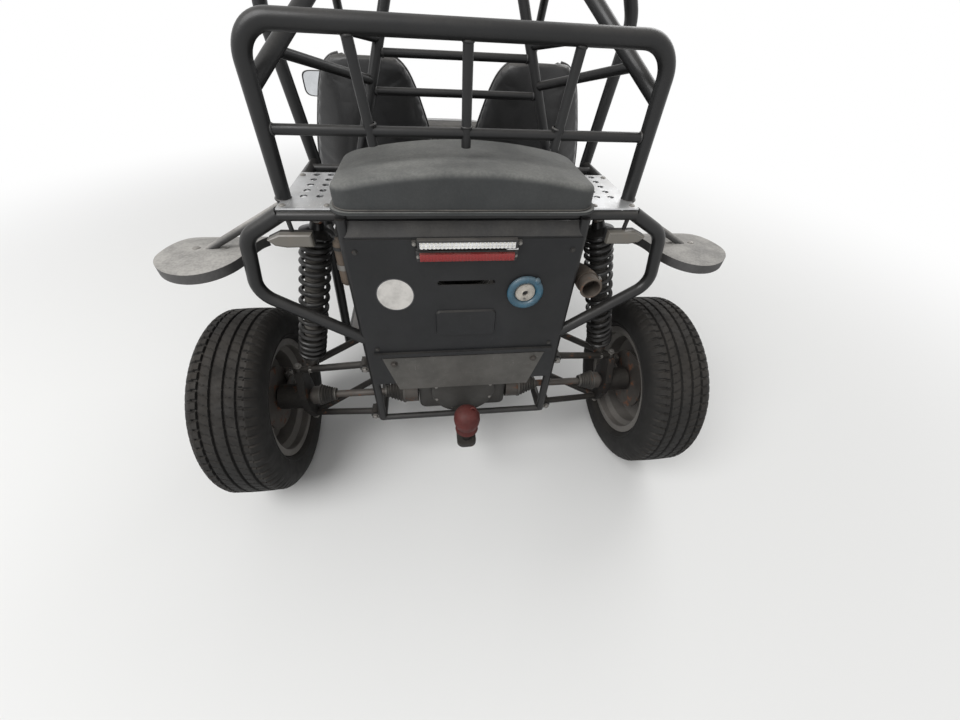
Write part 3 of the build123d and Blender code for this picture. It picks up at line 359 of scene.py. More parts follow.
EFFECT_MAKERS = {"dust": make_dust, "rust": make_rust, "grain": make_grain, "scuffs": make_scuffs}
EFFECTS = {}
FINISHES = {}
DUST = (0.34, 0.31, 0.27, 1)
TYRE_DUST = (0.17, 0.145, 0.12, 1)
WHEEL_DUST = (0.22, 0.2, 0.18, 1)
GUARD_DUST = (0.42, 0.405, 0.38, 1)
COVER_DUST = (0.24, 0.24, 0.225, 1)
GRAIN_DEPTH = 0.0006
RUST_ROUGH, DUST_ROUGH, COAT_ROUGH = 0.85, 0.95, 0.12
LENS_IOR = 1.49


def place_effect(tree, name, **values):
    """Put a shared effect in a material, with this material's own values."""
    if name not in EFFECTS:
        EFFECTS[name] = EFFECT_MAKERS[name]()
    made = tree.tree.nodes.new("ShaderNodeGroup")
    made.node_tree = EFFECTS[name]
    for key, value in values.items():
        made.inputs[key].default_value = value
    return made.outputs


def new_material(name):
    """A material with its tree and its shader."""
    material = bpy.data.materials.new(name)
    material.use_nodes = True
    return material, Tree(material.node_tree), material.node_tree.nodes["Principled BSDF"]


def laid_over(tree, surface, mask, colour, rough):
    """A surface's colour, roughness and metal, with a dull layer over it where the mask is 1."""
    base, roughness, metallic = surface
    if metallic:
        metallic = tree.mix(mask, metallic, 0.0, "FLOAT")
    return tree.mix(mask, base, colour), tree.mix(mask, roughness, rough, "FLOAT"), metallic


def finish(name, colour, rough=0.5, metal=0.0, dust=0.0, dust_scale=9.0, dust_colour=DUST, rust=0.0,
           rust_scale=24.0, scuffs=0.0, grain=0.0, grain_scale=700.0, uneven=0.25, uneven_scale=6.0,
           coat=0.0, shine=0.5):
    """A painted, moulded or metal surface with its unevenness, wear and dirt."""
    if name in FINISHES:
        return FINISHES[name]
    material, tree, shader = new_material(name)
    darker = (*(c * (1 - uneven) for c in colour), 1)
    scuffed = (*(min(1, c * 2.2 + 0.05) for c in colour), 1)
    base = tree.mix(tree.steps(tree.noise(uneven_scale, 5.0, 0.6), 0.3, 0.7), darker, (*colour, 1))
    smoothest, roughest = max(rough - 0.08, 0.03), min(rough + 0.1, 1)
    roughness = tree.steps(tree.noise(uneven_scale * 3.1, 4.0), 0.25, 0.75, smoothest, roughest)
    if scuffs:
        base = tree.mix(place_effect(tree, "scuffs", Amount=scuffs)["Mask"], base, scuffed)
    surface = (base, roughness, metal)
    if rust:
        spots = place_effect(tree, "rust", Amount=rust, Scale=rust_scale)
        surface = laid_over(tree, surface, spots["Mask"], spots["Color"], RUST_ROUGH)
    if dust:
        mask = place_effect(tree, "dust", Amount=dust, Scale=dust_scale)["Mask"]
        surface = laid_over(tree, surface, mask, dust_colour, DUST_ROUGH)
    for socket, value in zip(("Base Color", "Roughness", "Metallic"), surface):
        tree.feed(shader.inputs[socket], value)
    shader.inputs["Coat Weight"].default_value = coat
    shader.inputs["Coat Roughness"].default_value = COAT_ROUGH
    shader.inputs["Specular IOR Level"].default_value = shine
    if grain:
        height = place_effect(tree, "grain", Scale=grain_scale, Depth=1.0)["Height"]
        bump = tree.node("ShaderNodeBump", Height=height, Strength=grain, Distance=GRAIN_DEPTH)
        tree.feed(shader.inputs["Normal"], bump.outputs["Normal"])
    FINISHES[name] = material
    return material


def lens(name, colour, rough, transmission):
    """A moulded lamp lens or clear glass, with a little dust."""
    if name in FINISHES:
        return FINISHES[name]
    material, tree, shader = new_material(name)
    mask = place_effect(tree, "dust", Amount=0.35, Scale=14.0)["Mask"]
    tree.feed(shader.inputs["Base Color"], tree.mix(mask, (*colour, 1), DUST))
    tree.feed(shader.inputs["Roughness"], tree.mix(mask, rough, 0.8, "FLOAT"))
    shader.inputs["Transmission Weight"].default_value = transmission
    shader.inputs["IOR"].default_value = LENS_IOR
    FINISHES[name] = material
    return material


def black_tube():
    """Satin paint of the tube frame."""
    paint = bpy.context.scene.buggy_paint
    return finish("Satin black tube", paint.tube, 0.4, dust=paint.dust, dust_scale=7.0, scuffs=0.16,
                  grain=0.12, grain_scale=260.0, rust=0.1, rust_scale=30.0, coat=0.1, shine=0.35)


def bolt_steel():
    """Dulled zinc plating."""
    return finish("Zinc bolt", (0.27, 0.26, 0.245), 0.46, 0.85, dust=0.25, rust=0.3, rust_scale=60.0)


def dark_plastic():
    """Grained black moulding."""
    return finish("Matt black moulding", (0.017, 0.0175, 0.0185), 0.62, dust=0.25, grain=0.35, scuffs=0.25)


def bush_rubber():
    """Dusty black rubber of bushes, hoses and seals."""
    return finish("Bush rubber", (0.02, 0.02, 0.02), 0.8, dust=0.4)


def cast_alloy():
    """Castings of the engine, their colour darkened as painted shade."""
    # painted shade: the castings' colour is darkened for the shade that they lie in
    return finish("Cast alloy with painted shade", (0.052, 0.05, 0.047), 0.6, 0.45, dust=0.3, grain=0.5, grain_scale=380.0)


def lamp_chrome():
    """Bright plating of the lamps."""
    return finish("Lamp reflector", (0.8, 0.8, 0.8), 0.18, 1.0, dust=0.3)


def tyre_rubber(look):
    """Worn rubber with brown dust in it."""
    return finish("Tyre rubber", look.colour, 0.78, dust=0.16, dust_scale=11.0, dust_colour=TYRE_DUST,
                  shine=0.35, uneven=0.45, uneven_scale=9.0, grain=0.15, grain_scale=420.0)


def dress(material, *names):
    """Give carried-over nodes their finish."""
    for name in names:
        mesh = NODES[name].data
        mesh.materials.clear()
        mesh.materials.append(material)


def dress_frame():
    """Finishes of the frame, the arms and the steering."""
    dress(black_tube(), "floor_frame", "main_hoop", "cage_sides", "cage_bars", "door_bars", "nose_frame",
          "rear_frame", "rear_stays", "tail_hoop", "outer_stays", "side_guards", "front_bumper",
          "steering_column")
    arms = finish("Arm paint", (0.014, 0.0125, 0.0115), 0.55, 0.1, dust=0.12, shine=0.35, rust=0.4,
                  rust_scale=20.0, scuffs=0.3, grain=0.2, grain_scale=240.0)
    dress(arms, "rear_arms", "front_arms", "rear_hub_carriers", "tow_hitch", "knuckle_left", "knuckle_right")
    steel = finish("Rusty shaft steel", (0.085, 0.076, 0.069), 0.55, 0.6, dust=0.22, rust=0.48,
                   rust_scale=26.0)
    dress(steel, "half_shaft_left", "half_shaft_right", "front_brake_left", "front_brake_right",
          "steering_rack", "pedals")
    rims = finish("Dusty silver wheel", (0.17, 0.16, 0.148), 0.5, 0.4, dust=0.4, dust_scale=10.0, rust=0.3,
                  rust_scale=22.0, scuffs=0.3, dust_colour=WHEEL_DUST)
    dress(rims, "rim_rear_left", "rim_rear_right", "rim_front_left", "rim_front_right")
    grip = finish("Grip leather", (0.025, 0.025, 0.026), 0.5, grain=0.4, grain_scale=480.0, dust=0.15)
    dress(grip, "steering_wheel")


def dress_panels():
    """Finishes of the sheets, the mouldings and the engine."""
    sheet = finish("Satin black sheet", (0.010, 0.0108, 0.0125), 0.5, dust=0.1, dust_scale=6.0, scuffs=0.3,
                   grain=0.15, shine=0.35, uneven=0.4, uneven_scale=5.0)
    dress(sheet, "tail_panel")
    # The bare plate's colour is darkened as painted shade, for the low light that reaches it.
    bare = finish("Bare sheet with painted shade", (0.092, 0.088, 0.081), 0.6, 0.25, dust=0.2, scuffs=0.5, uneven=0.3,
                  uneven_scale=14.0)
    dress(bare, "plate_panel")
    bright = finish("Worn bright sheet", (0.62, 0.63, 0.64), 0.3, 0.95, dust=0.35, scuffs=0.6, uneven=0.2,
                    uneven_scale=12.0)
    dress(bright, "deck_plates")
    cover = finish("Grained cover", (0.018, 0.0205, 0.022), 0.5, dust=0.9, dust_scale=4.0,
                   dust_colour=COVER_DUST, shine=0.4, grain=0.35, scuffs=0.3, uneven=0.3)
    dress(cover, "engine_cover")
    rear_guard = finish("Dusty mudguard", (0.03, 0.03, 0.032), 0.6, dust=1.15, dust_scale=6.0,
                        dust_colour=GUARD_DUST, grain=0.2, uneven=0.3)
    dress(rear_guard, "rear_mudguards")
    front_guard = finish("Black mudguard", (0.02, 0.02, 0.021), 0.5, dust=0.35, dust_scale=6.0, grain=0.2,
                         scuffs=0.3)
    dress(front_guard, "front_mudguard_left", "front_mudguard_right")
    dress(finish("Dull floor sheet", (0.16, 0.16, 0.165), 0.5, 0.7, dust=0.45, scuffs=0.6), "floor_pan")
    dress(dark_plastic(), "dashboard")
    dress(cast_alloy(), "engine_block")
    pipe = finish("Browned pipe", (0.07, 0.055, 0.045), 0.6, 0.4, dust=0.3, rust=0.45, rust_scale=24.0)
    dress(pipe, "exhaust")


# Tyres and wheels, in millimetres
RIM_INSET = 26.0
FLANGE_R = 195.0
BEAD_R = 179.0
TREAD_INSET = 32
CROWN_DROP = 2.2
GROOVES = (-0.74, -0.26, 0.26, 0.74)  # shares of the tread's half width
GROOVE_FLOOR = 0.6  # share of a groove's width
RIB_POINTS = (0.02, 0.2, 0.4, 0.6, 0.8, 0.98)
PITCH_SAMPLES = 8  # points along one block of the tread
WALL = [
    # share of the wall's height, how far inside the widest place
    (0.015, 25.0), (0.04, 17.0), (0.10, 9.5), (0.125, 7.2), (0.14, 5.2), (0.165, 5.2), (0.18, 6.6),
    (0.24, 3.6), (0.36, 0.7), (0.49, 0.4), (0.60, 1.6), (0.70, 4.0), (0.79, 8.0), (0.87, 14.0),
    (0.94, 21.0), (0.982, 29.0),
]
SHOULDER = 0.75  # share of the wall's height above which the tread's cuts go on
SHOULDER_END, SHOULDER_FADE = 24, 14  # how far under the crown they end, and over which height they fade
TREAD_CUTS = {
    # slant of the cut over one millimetre across, share of a block that it takes, share of the full depth
    "rib0": (0.004, 0.25, 0.8), "rib1": (0.022, 0.13, 0.5), "rib2": (0.03, 0.13, 0.45),
}
RIB_MIDDLE = 3  # the middle rib isn't cut this near its own middle
STUD_CIRCLE = 50  # its radius
CAP_FACE = 12.2  # from the wheel's middle out to the rim's face
VALVE = (44, 153)  # across from the wheel's middle, and its radius
WHEEL_NUT = [(2, 11.5), (2, 10.6), (12, 10.6), (16.5, 7.2), (18.2, 3.2), (18.6, 0)]
NUT_SEAT = [(0, 7.5), (0, 11.8), (2.2, 11.2), (2.2, 0)]
WHEEL_CAP = [
    (0.2, 22), (0.2, 26), (17, 26), (20.5, 24), (22.5, 19), (23.5, 9), (23.8, 0), (22.2, 0), (21.8, 9),
    (20.2, 18), (17, 22), (0.2, 22),
]


def tread_crown(tread, groove_half):
    """(across, zone) points over the five ribs and the grooves between them."""
    centres = [tread * share for share in GROOVES]
    edges = [-tread] + [e for c in centres for e in (c - groove_half, c + groove_half)] + [tread]
    crown = []
    for rib in range(5):
        low, high = edges[2 * rib], edges[2 * rib + 1]
        crown += [(low + (high - low) * share, f"rib{min(rib, 4 - rib)}") for share in RIB_POINTS]
        if rib < 4:
            reach = groove_half * GROOVE_FLOOR
            crown += [(centres[rib] - reach, "groove"), (centres[rib] + reach, "groove")]
    return crown


def tyre_section(radius, half, groove_half):
    """(across, radius, zone) points from bead to bead; the zone says how the tread is cut there."""
    tread = half - TREAD_INSET
    wall = []
    for share, inside in WALL:
        height = FLANGE_R + share * (radius - FLANGE_R)
        wall.append((half - inside, height, "shoulder" if share > SHOULDER else "wall"))
    crown = tread_crown(tread, groove_half)
    points = [(-(half - RIM_INSET), BEAD_R, "wall")]
    points += [(-x, r, zone) for x, r, zone in wall]
    points += [(x, radius - CROWN_DROP * (x / tread) ** 2, zone) for x, zone in crown]
    points += wall[::-1]
    points += [(half - RIM_INSET, BEAD_R, "wall")]
    return points


def tread_cut(zone, x, below, turns, side, depth):
    """How deep the tread is cut at each turn round the tyre; below is how far a point is under the crown."""
    if zone == "groove":
        return np.full_like(turns, depth)
    if zone == "wall":
        return np.zeros_like(turns)
    slant, taken, part = TREAD_CUTS["rib0" if zone == "shoulder" else zone]
    if zone == "rib1":
        return np.where((turns + slant * x * side + 0.5) % 1 < taken, depth * part, 0)
    if zone == "rib2":
        return np.where(((turns + slant * x * side) % 1 < taken) & (abs(x) > RIB_MIDDLE), depth * part, 0)
    share = 1.0 if zone == "rib0" else max(0.0, min(1.0, (SHOULDER_END - below) / SHOULDER_FADE))
    return np.where((turns + slant * abs(x) * side) % 1 < taken, depth * part * share, 0)


def make_tyre(name, side, look):
    """One tyre, with its grooves and the cuts of its tread."""
    low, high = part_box("tyre_" + name)
    centre = (low + high) / 2
    radius, half = (high.z - low.z) / 2 / MM, (high.x - low.x) / 2 / MM
    turns = np.arange(look.pitches * PITCH_SAMPLES) / PITCH_SAMPLES
    angles = turns * 2 * math.pi / look.pitches
    rows = []
    for x, r, zone in tyre_section(radius, half, look.groove_width / MM / 2):
        reach = (r - tread_cut(zone, x, radius - r, turns, side, look.groove_depth / MM)) * MM
        across = np.full_like(angles, centre.x + x * MM)
        y, z = centre.y + reach * np.cos(angles), centre.z + reach * np.sin(angles)
        rows.append(np.column_stack([across, y, z]))
    build = Build()
    build.grid(rows, tyre_rubber(look), along=True)
    piece = build.piece("tyre_tread_" + name, "wheel_" + name, "tyre", smooth=32)
    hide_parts("tyre_" + name)


def make_wheel_fittings(name, side, look):
    """Nuts, centre cap and valve of one wheel."""
    low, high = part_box("tyre_" + name)
    hub = (low + high) / 2
    out = (side, 0, 0)
    build = Build()
    cap = finish("Dusty black cap", (0.03, 0.03, 0.032), 0.5, dust=0.5, scuffs=0.3)
    face = hub + Vector(out) * CAP_FACE * MM
    for corner in range(4):
        angle = math.radians(45 + 90 * corner)
        spot = face + Vector((0, math.cos(angle), math.sin(angle))) * STUD_CIRCLE * MM
        build.lathe(WHEEL_NUT, spot, out, bolt_steel(), 6)
        build.lathe(NUT_SEAT, spot, out, bolt_steel(), 24)
    build.lathe(WHEEL_CAP, face, out, cap, 40)
    rise = Vector((0, math.cos(math.radians(20)), math.sin(math.radians(20))))
    foot = hub + Vector(out) * VALVE[0] * MM + rise * VALVE[1] * MM

    def on_valve(along, drop):
        """A point of the valve, out from its foot and in towards the wheel's middle."""
        return foot + Vector(out) * along * MM - rise * drop * MM

    build.tube([foot, on_valve(9, 5), on_valve(26, 9)], 4.2, tyre_rubber(look), 12)
    build.tube([on_valve(26, 9), on_valve(37, 11)], 3.3, cap, 12)
    build.piece("wheel_fittings_" + name, "wheel_" + name, "rim_steel", smooth=30)


# Brakes and drive, in millimetres
DRIVE_Z = 298
FOLDS = 6
BELLOWS = [
    # (across, radius) of the first points, first ridge, first valley, their steps, and the last points
    ([(196, 12), (196, 41)], (202, 42.5), (207, 36.0), (10, -3.8), (10, -3.9), [(262, 12)]),
    ([(428, 12), (428, 19)], (434, 22.5), (438, 18.5), (8, 2.6), (8, 2.4), [(478, 33), (478, 12)]),
]
BELLOWS_BANDS = [
    # place across, radius
    (198, 41.6), (260, 19.5), (430, 19.8), (476, 33.6),
]
CALIPERS = [
    # corner, body's name without its side or "root", hub's y and z, disc's place across
    ("rear_", "root", (0, DRIVE_Z), 615),
    ("front_", "knuckle_", (1900, 275), 569),
]


def bellows_outline(first, ridge, valley, ridge_step, valley_step, last):
    """(across, radius) points of one bellows, fold by fold."""
    outline = list(first)
    for fold in range(FOLDS):
        for point, step in ((ridge, ridge_step), (valley, valley_step)):
            outline.append((point[0] + step[0] * fold, point[1] + step[1] * fold))
    return outline + last


def make_drive_fittings(name, side):
    """Bellows and clamps on a rear half shaft."""
    build = Build()
    rubber = finish("Bellows rubber", (0.022, 0.021, 0.02), 0.7, dust=0.45, uneven=0.4, uneven_scale=30.0)
    band_steel = finish("Band steel", (0.10, 0.095, 0.088), 0.5, 0.7, dust=0.3, rust=0.3, rust_scale=60.0)
    hub = at(0, 0, DRIVE_Z)
    for row in BELLOWS:
        outline = [(side * across, radius) for across, radius in bellows_outline(*row)]
        build.lathe(outline, hub, ACROSS, rubber)
    for place, radius in BELLOWS_BANDS:
        edges = (side * (place - 3), side * (place + 3))
        build.band(edges, (radius - 3, radius + 1), hub, ACROSS, band_steel)
    build.piece("half_shaft_bellows_" + name, "wheel_rear_" + name, "rubber", smooth=40)


def make_caliper(corner, body, hub, disc_x, side):
    """A brake caliper over its disc, with pads, bolts and a bracket towards the upright."""
    y, z = hub
    iron = finish("Caliper iron", (0.10, 0.095, 0.09), 0.62, 0.5, dust=0.45, rust=0.4, rust_scale=40.0)
    pad = finish("Brake pad", (0.04, 0.035, 0.03), 0.85, dust=0.3)
    build = Build()

    def block(across, along, half_height, material, bevel):
        """A box between two places across from the disc and two along from the hub."""
        low_x, high_x = sorted(side * (disc_x + place) for place in across)
        low, high = (low_x, y + along[0], z - half_height), (high_x, y + along[1], z + half_height)
        build.brick(low, high, material, bevel)

    for way in (-1, 1):
        block((way * 5.5, way * 19), (74, 110), 34, iron, 5)
        block((way * 3.4, way * 5.6), (76, 102), 26, pad, 1)
    block((-19, 19), (107.5, 118), 26, iron, 4)
    block((-24, -17), (26, 92), 14, iron, 2)
    for lift in (-24, 24):
        build.bolt(at(side * (disc_x - 19), y + 92, z + lift), (-side, 0, 0), 13, bolt_steel())
    build.piece("brake_caliper_" + corner, body, "shaft_steel")


# Coil-overs
COILOVERS = [
    # axle, top eye, lower eye, coil's radius, wire's radius, turns, node, coil's share of the length
    ("rear_", (345, 20, 903), (478, 12, 424), 40, 6.2, 15, "rear_shocks", 0.86),
    ("front_", (218, 1900, 582), (430, 1900, 372), 31, 4.6, 10, "front_shocks", 0.8),
]


def add_damper(build, foot, axis, length, low, high, radius):
    """Body with its thread, rod, lower and upper spring seats, and the bump stop."""
    black = spring_paint()
    metal = damper_steel()
    rod = finish("Polished rod", (0.55, 0.55, 0.54), 0.16, 1.0, dust=0.15)
    body = [
        (16, 0), (16, 15), (26, 20), (low - 14, 21), (low - 14, 24), (low - 2, 24), (low, 21.5),
        (low + 70, 21.5), (low + 76, 17), (low + 76, 0),
    ]
    build.lathe(body, foot, axis, metal, 28)
    for turn in range(7):
        ring = low - 2 + turn * 7
        thread = [(ring, 21.5), (ring + 1.5, 22.9), (ring + 4.5, 22.9), (ring + 6, 21.5)]
        build.lathe(thread, foot, axis, metal, 28)
    lower_seat = [
        (low - 2, 22), (low - 2, radius - 2), (low + 5, radius), (low + 8, radius - 3), (low + 8, 22),
    ]
    build.lathe(lower_seat, foot, axis, black, 36)
    build.band((low + 60, length - 24), (0, 6.5), foot, axis, rod, 20)
    bump_stop = [
        (high - 60, 7), (high - 58, 15), (high - 44, 13), (high - 38, 17), (high - 24, 14), (high - 18, 18),
        (high, 18), (high, 7),
    ]
    build.lathe(bump_stop, foot, axis, bush_rubber(), 24)
    upper_seat = [
        (high, 0), (high, radius - 1), (high + 5, radius), (high + 9, radius - 6), (high + 16, 18),
        (length - 15, 15), (length - 15, 0),
    ]
    build.lathe(upper_seat, foot, axis, black, 36)


def spring_paint():
    """Worn black paint of the springs."""
    return finish("Spring paint", (0.008, 0.008, 0.0085), 0.45, dust=0.08, shine=0.35, rust=0.22,
                  rust_scale=34.0, scuffs=0.3, coat=0.2)


def damper_steel():
    """Dark steel of the dampers."""
    return finish("Damper steel", (0.06, 0.055, 0.05), 0.5, 0.6, dust=0.2, rust=0.45, rust_scale=30.0)


def add_eye(build, eye, inward):
    """One eye of a damper with its bush, bolt and neck."""
    build.band((-13, 13), (8, 16), eye, AHEAD, damper_steel(), 28)
    build.band((-15, 15), (5, 11), eye, AHEAD, bush_rubber(), 20)
    build.band((-19, 19), (0, 5), eye, AHEAD, bolt_steel(), 16)
    for way in (-1, 1):
        build.bolt(eye + Vector((0, way * 15 * MM, 0)), (0, way, 0), 14, bolt_steel(), 8)
    build.lathe([(0, 0), (0, 9), (22, 14), (22, 0)], eye, inward, damper_steel(), 20)


def make_coilover(name, side, axle, top, foot, radius, wire, turns, node, share):
    """Coil, damper, bellows, seats, bushes and bolts of one unit, between its two eyes."""
    top, foot = at(side * top[0], *top[1:]), at(side * foot[0], *foot[1:])
    axis = (top - foot).normalized()
    length = (top - foot).length / MM
    low, high = length * (1 - share) - 8, length - 46
    build = Build()
    add_damper(build, foot, axis, length, low, high, radius)
    sleeve = radius - 2 * wire - 3
    bellows = [(low + 74, 8), (low + 76, sleeve - 3)]
    for fold in range(int((high - low - 100) / 9)):
        bellows += [(low + 80 + 9 * fold, sleeve), (low + 84.5 + 9 * fold, sleeve - 4)]
    bellows.append((bellows[-1][0] + 3, 8))
    build.lathe(bellows, foot, axis, bush_rubber(), 28)
    coil_foot, coil_top = foot + axis * (low + 7) * MM, foot + axis * (high + 1) * MM
    build.spring(coil_foot, coil_top, radius - wire, wire, turns, spring_paint())
    for end, direction in ((0, 1), (length, -1)):
        add_eye(build, foot + axis * end * MM, axis * direction)
    piece = build.piece("coilover_" + axle + name, "root", "spring_black", smooth=34)
    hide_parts(node)


# Seats, in millimetres
SEAT_STATIONS = [
    # front y, front z, back y, back z, half width, bolster
    (1060, 352, 1056, 306, 158, 0), (1062, 398, 1030, 280, 184, 4), (1038, 424, 985, 271, 196, 14),
    (985, 432, 930, 270, 199, 24), (915, 428, 870, 270, 200, 32), (845, 415, 800, 270, 200, 40),
    (778, 402, 712, 270, 200, 50), (724, 404, 632, 272, 199, 60), (690, 438, 570, 296, 198, 66),
    (664, 505, 536, 380, 198, 64), (637, 595, 510, 500, 199, 60), (610, 690, 486, 620, 200, 54),
    (584, 780, 464, 735, 199, 46), (559, 862, 446, 838, 194, 38), (537, 932, 431, 926, 182, 30),
    (518, 992, 419, 1000, 165, 20), (500, 1046, 408, 1062, 147, 11), (483, 1094, 397, 1112, 130, 5),
    (466, 1132, 390, 1148, 111, 2), (449, 1158, 392, 1169, 86, 0), (433, 1171, 402, 1175, 54, 0),
]
SEAT_MIDDLE = 240
SEAT_ROWS = 150
SEAT_COLUMNS = 96
SEAT_SQUARENESS = 0.52
BOLSTER_FROM, BOLSTER_RISE = 0.42, 0.34  # where a bolster starts, and over which share it rises
BOLSTER_END, BOLSTER_FALL = 1.06, 0.2  # where it would end, and over which share it comes down
SEAT_CROWN = 9  # how far the padding bulges between the seams
PLEATS_FROM, PLEATS_TO = 90, 150  # how far the pleats keep from the front edge and from the top
EDGE_SHARE, EDGE_HALF = 0.93, 12  # the cover is held beyond this share across, this near its edge's middle
SEAM_SHARE, SEAM_WIDTH = 0.5, 3.6  # where the two long seams run, and how wide they are
PLEAT_WIDTH = 4.0


def smooth_rows(table, count):
    """Spline the rows of a table of numbers to count rows."""
    table = np.asarray(table, float)
    padded = np.vstack([2 * table[0] - table[1], table, 2 * table[-1] - table[-2]])
    where = np.linspace(0, len(table) - 1.0001, count)
    i = where.astype(int)
    t = (where - i)[:, None]
    a, b, c, d = (padded[i + k] for k in range(4))
    square, cube = 2 * a - 5 * b + 4 * c - d, 3 * b - a - 3 * c + d
    return 0.5 * (2 * b + (c - a) * t + square * t ** 2 + cube * t ** 3)


def groove(distance, width, depth):
    """The depth of a sewn channel at a distance from its seam."""
    return -depth * np.exp(-(distance / width) ** 2)


def seat_shell():
    """Rows of points of one seat about its own middle, its stations, and the distance along its front."""
    stations = smooth_rows(SEAT_STATIONS, SEAT_ROWS)
    front, back, half, bolster = stations[:, 0:2], stations[:, 2:4], stations[:, 4], stations[:, 5]
    middle, out = (front + back) / 2, front - back
    thick = np.linalg.norm(out, axis=1) / 2
    out /= 2 * thick[:, None]
    run = np.concatenate([[0], np.cumsum(np.linalg.norm(np.diff(front, axis=0), axis=1))])
    angles = np.linspace(0, 2 * math.pi, SEAT_COLUMNS, endpoint=False)
    across = squarish(np.cos(angles), SEAT_SQUARENESS)
    level = squarish(np.sin(angles), SEAT_SQUARENESS)
    share = np.abs(across)
    up = np.clip((share - BOLSTER_FROM) / BOLSTER_RISE, 0, 1) ** 2
    down = np.clip((BOLSTER_END - share) / BOLSTER_FALL, 0, 1)
    rows = []
    for i in range(SEAT_ROWS):
        full = 1 if PLEATS_FROM < run[i] < run[-1] - PLEATS_TO else 0.5
        crown = SEAT_CROWN * (1 - np.clip(share / SEAM_SHARE, 0, 1) ** 2) * full
        height = level * thick[i] + np.where(level > 0.15, bolster[i] * up * down + crown, 0)
        y, z = (middle[i, k] + out[i, k] * height for k in (0, 1))
        rows.append(np.column_stack([across * half[i], y, z]))
    return np.array(rows), stations, run


def mesh_points(mesh):
    """The places of a mesh's points, one row each."""
    points = np.empty(len(mesh.vertices) * 3)
    mesh.vertices.foreach_get("co", points)
    return points.reshape(-1, 3)


def mesh_normals(mesh):
    """The normals of a mesh's points, one row each."""
    normals = np.empty(len(mesh.vertices) * 3)
    mesh.vertex_normals.foreach_get("vector", normals)
    return normals.reshape(-1, 3)


def apply_modifier(obj, kind, **settings):
    """Put one modifier's result in the object, and return it."""
    modifier = obj.modifiers.new(kind, kind)
    for key, value in settings.items():
        setattr(modifier, key, value)
    result = bpy.data.meshes.new_from_object(obj.evaluated_get(bpy.context.evaluated_depsgraph_get()))
    obj.modifiers.clear()
    obj.data = result
    return result


def seat_places(points, stations, run):
    """For each point: share across, half width, distance along the front, and how far forward."""
    middle = (stations[:, 0:2] + stations[:, 2:4]) / 2
    out = stations[:, 0:2] - stations[:, 2:4]
    out /= np.linalg.norm(out, axis=1)[:, None]
    fine = np.linspace(0, len(run) - 1, 2400)
    steps = np.arange(len(run))
    line = np.column_stack([np.interp(fine, steps, middle[:, k]) for k in (0, 1)])
    tree = KDTree(len(line))
    for i, (y, z) in enumerate(line):
        tree.insert((0, y, z), i)
    tree.balance()
    nearest = fine[[tree.find((0, y, z))[1] for _, y, z in points]]

    def forward(k):
        """How far forward the points are, by their y for 0 and by their z for 1."""
        gap = points[:, k + 1] - np.interp(nearest, steps, middle[:, k])
        return gap * np.interp(nearest, steps, out[:, k])

    half = np.interp(nearest, steps, stations[:, 4])
    return np.abs(points[:, 0]) / half, half, np.interp(nearest, steps, run), forward(0) + forward(1)


def swell_cover(obj, look):
    """Let the cover swell over its padding between the piping at its two edges, by a capped distance."""
    start = mesh_points(obj.data)
    cloth = obj.modifiers.new("Cover", "CLOTH")
    cloth.settings.use_pressure = True
    cloth.settings.uniform_pressure_force = look.pressure
    cloth.settings.vertex_group_mass = "sewn"
    cloth.settings.effector_weights.gravity = 0
    cloth.point_cache.frame_start, cloth.point_cache.frame_end = 1, look.frames
    scene = bpy.context.scene
    for step in range(1, look.frames + 1):
        scene.frame_set(step)
    swollen = mesh_points(obj.evaluated_get(bpy.context.evaluated_depsgraph_get()).data)
    scene.frame_set(1)
    obj.modifiers.clear()
    moved = swollen - start
    length = np.linalg.norm(moved, axis=1)
    moved *= (np.minimum(length, look.swell) / np.maximum(length, 1e-9))[:, None]
    obj.data.vertices.foreach_set("co", (start + moved).ravel())


def sew_channels(mesh, stations, run, look):
    """Press the two long seams and the pleats between them into the front of the cover."""
    points, normals = mesh_points(mesh) / MM, mesh_normals(mesh)
    share, half, place, level = seat_places(points, stations, run)
    depth, pleat = look.seam_depth / MM, look.pleat / MM
    cut = groove((share - SEAM_SHARE) * half, SEAM_WIDTH, depth)
    pleated = (share < SEAM_SHARE) & (place > PLEATS_FROM) & (place < run[-1] - PLEATS_TO)
    cut += np.where(pleated, groove(place % pleat - pleat / 2, PLEAT_WIDTH, depth * 0.8), 0)
    points += normals * np.where(level > 15, cut, 0)[:, None]
    mesh.vertices.foreach_set("co", (points * MM).ravel())


def seat_cover(look):
    """The cover of one seat about its own middle: padded, swollen and sewn."""
    rows, stations, run = seat_shell()
    build = Build()
    vinyl = finish("Black vinyl", look.colour, 0.36, dust=0.25, dust_scale=5.0, grain=0.3, grain_scale=520.0,
                   uneven=0.3, scuffs=0.2, coat=0.15)
    build.grid(rows * MM, vinyl)
    for ring in (rows[0], rows[-1]):
        fan = [(i, (i + 1) % len(ring), len(ring)) for i in range(len(ring))]
        build.add(np.vstack([ring, ring.mean(0)]) * MM, fan, vinyl)
    obj = placed("seat_cover", build.made_mesh("seat_cover"))
    apply_modifier(obj, "REMESH", mode="VOXEL", voxel_size=look.voxel)
    points = mesh_points(obj.data) / MM
    share, _, _, level = seat_places(points, stations, run)
    held = (share > EDGE_SHARE) & (np.abs(level) < EDGE_HALF)
    obj.vertex_groups.new(name="sewn").add(np.flatnonzero(held).tolist(), 1.0, "REPLACE")
    start = points - mesh_normals(obj.data) * np.where(held, 0, look.start / MM)[:, None]
    obj.data.vertices.foreach_set("co", (start * MM).ravel())
    swell_cover(obj, look)
    mesh = apply_modifier(obj, "SUBSURF", levels=1, render_levels=1)
    sew_channels(mesh, stations, run, look)
    mesh.materials.clear()
    mesh.materials.append(vinyl)
    mesh.polygons.foreach_set("use_smooth", [True] * len(mesh.polygons))
    bpy.data.objects.remove(obj)
    return mesh, stations


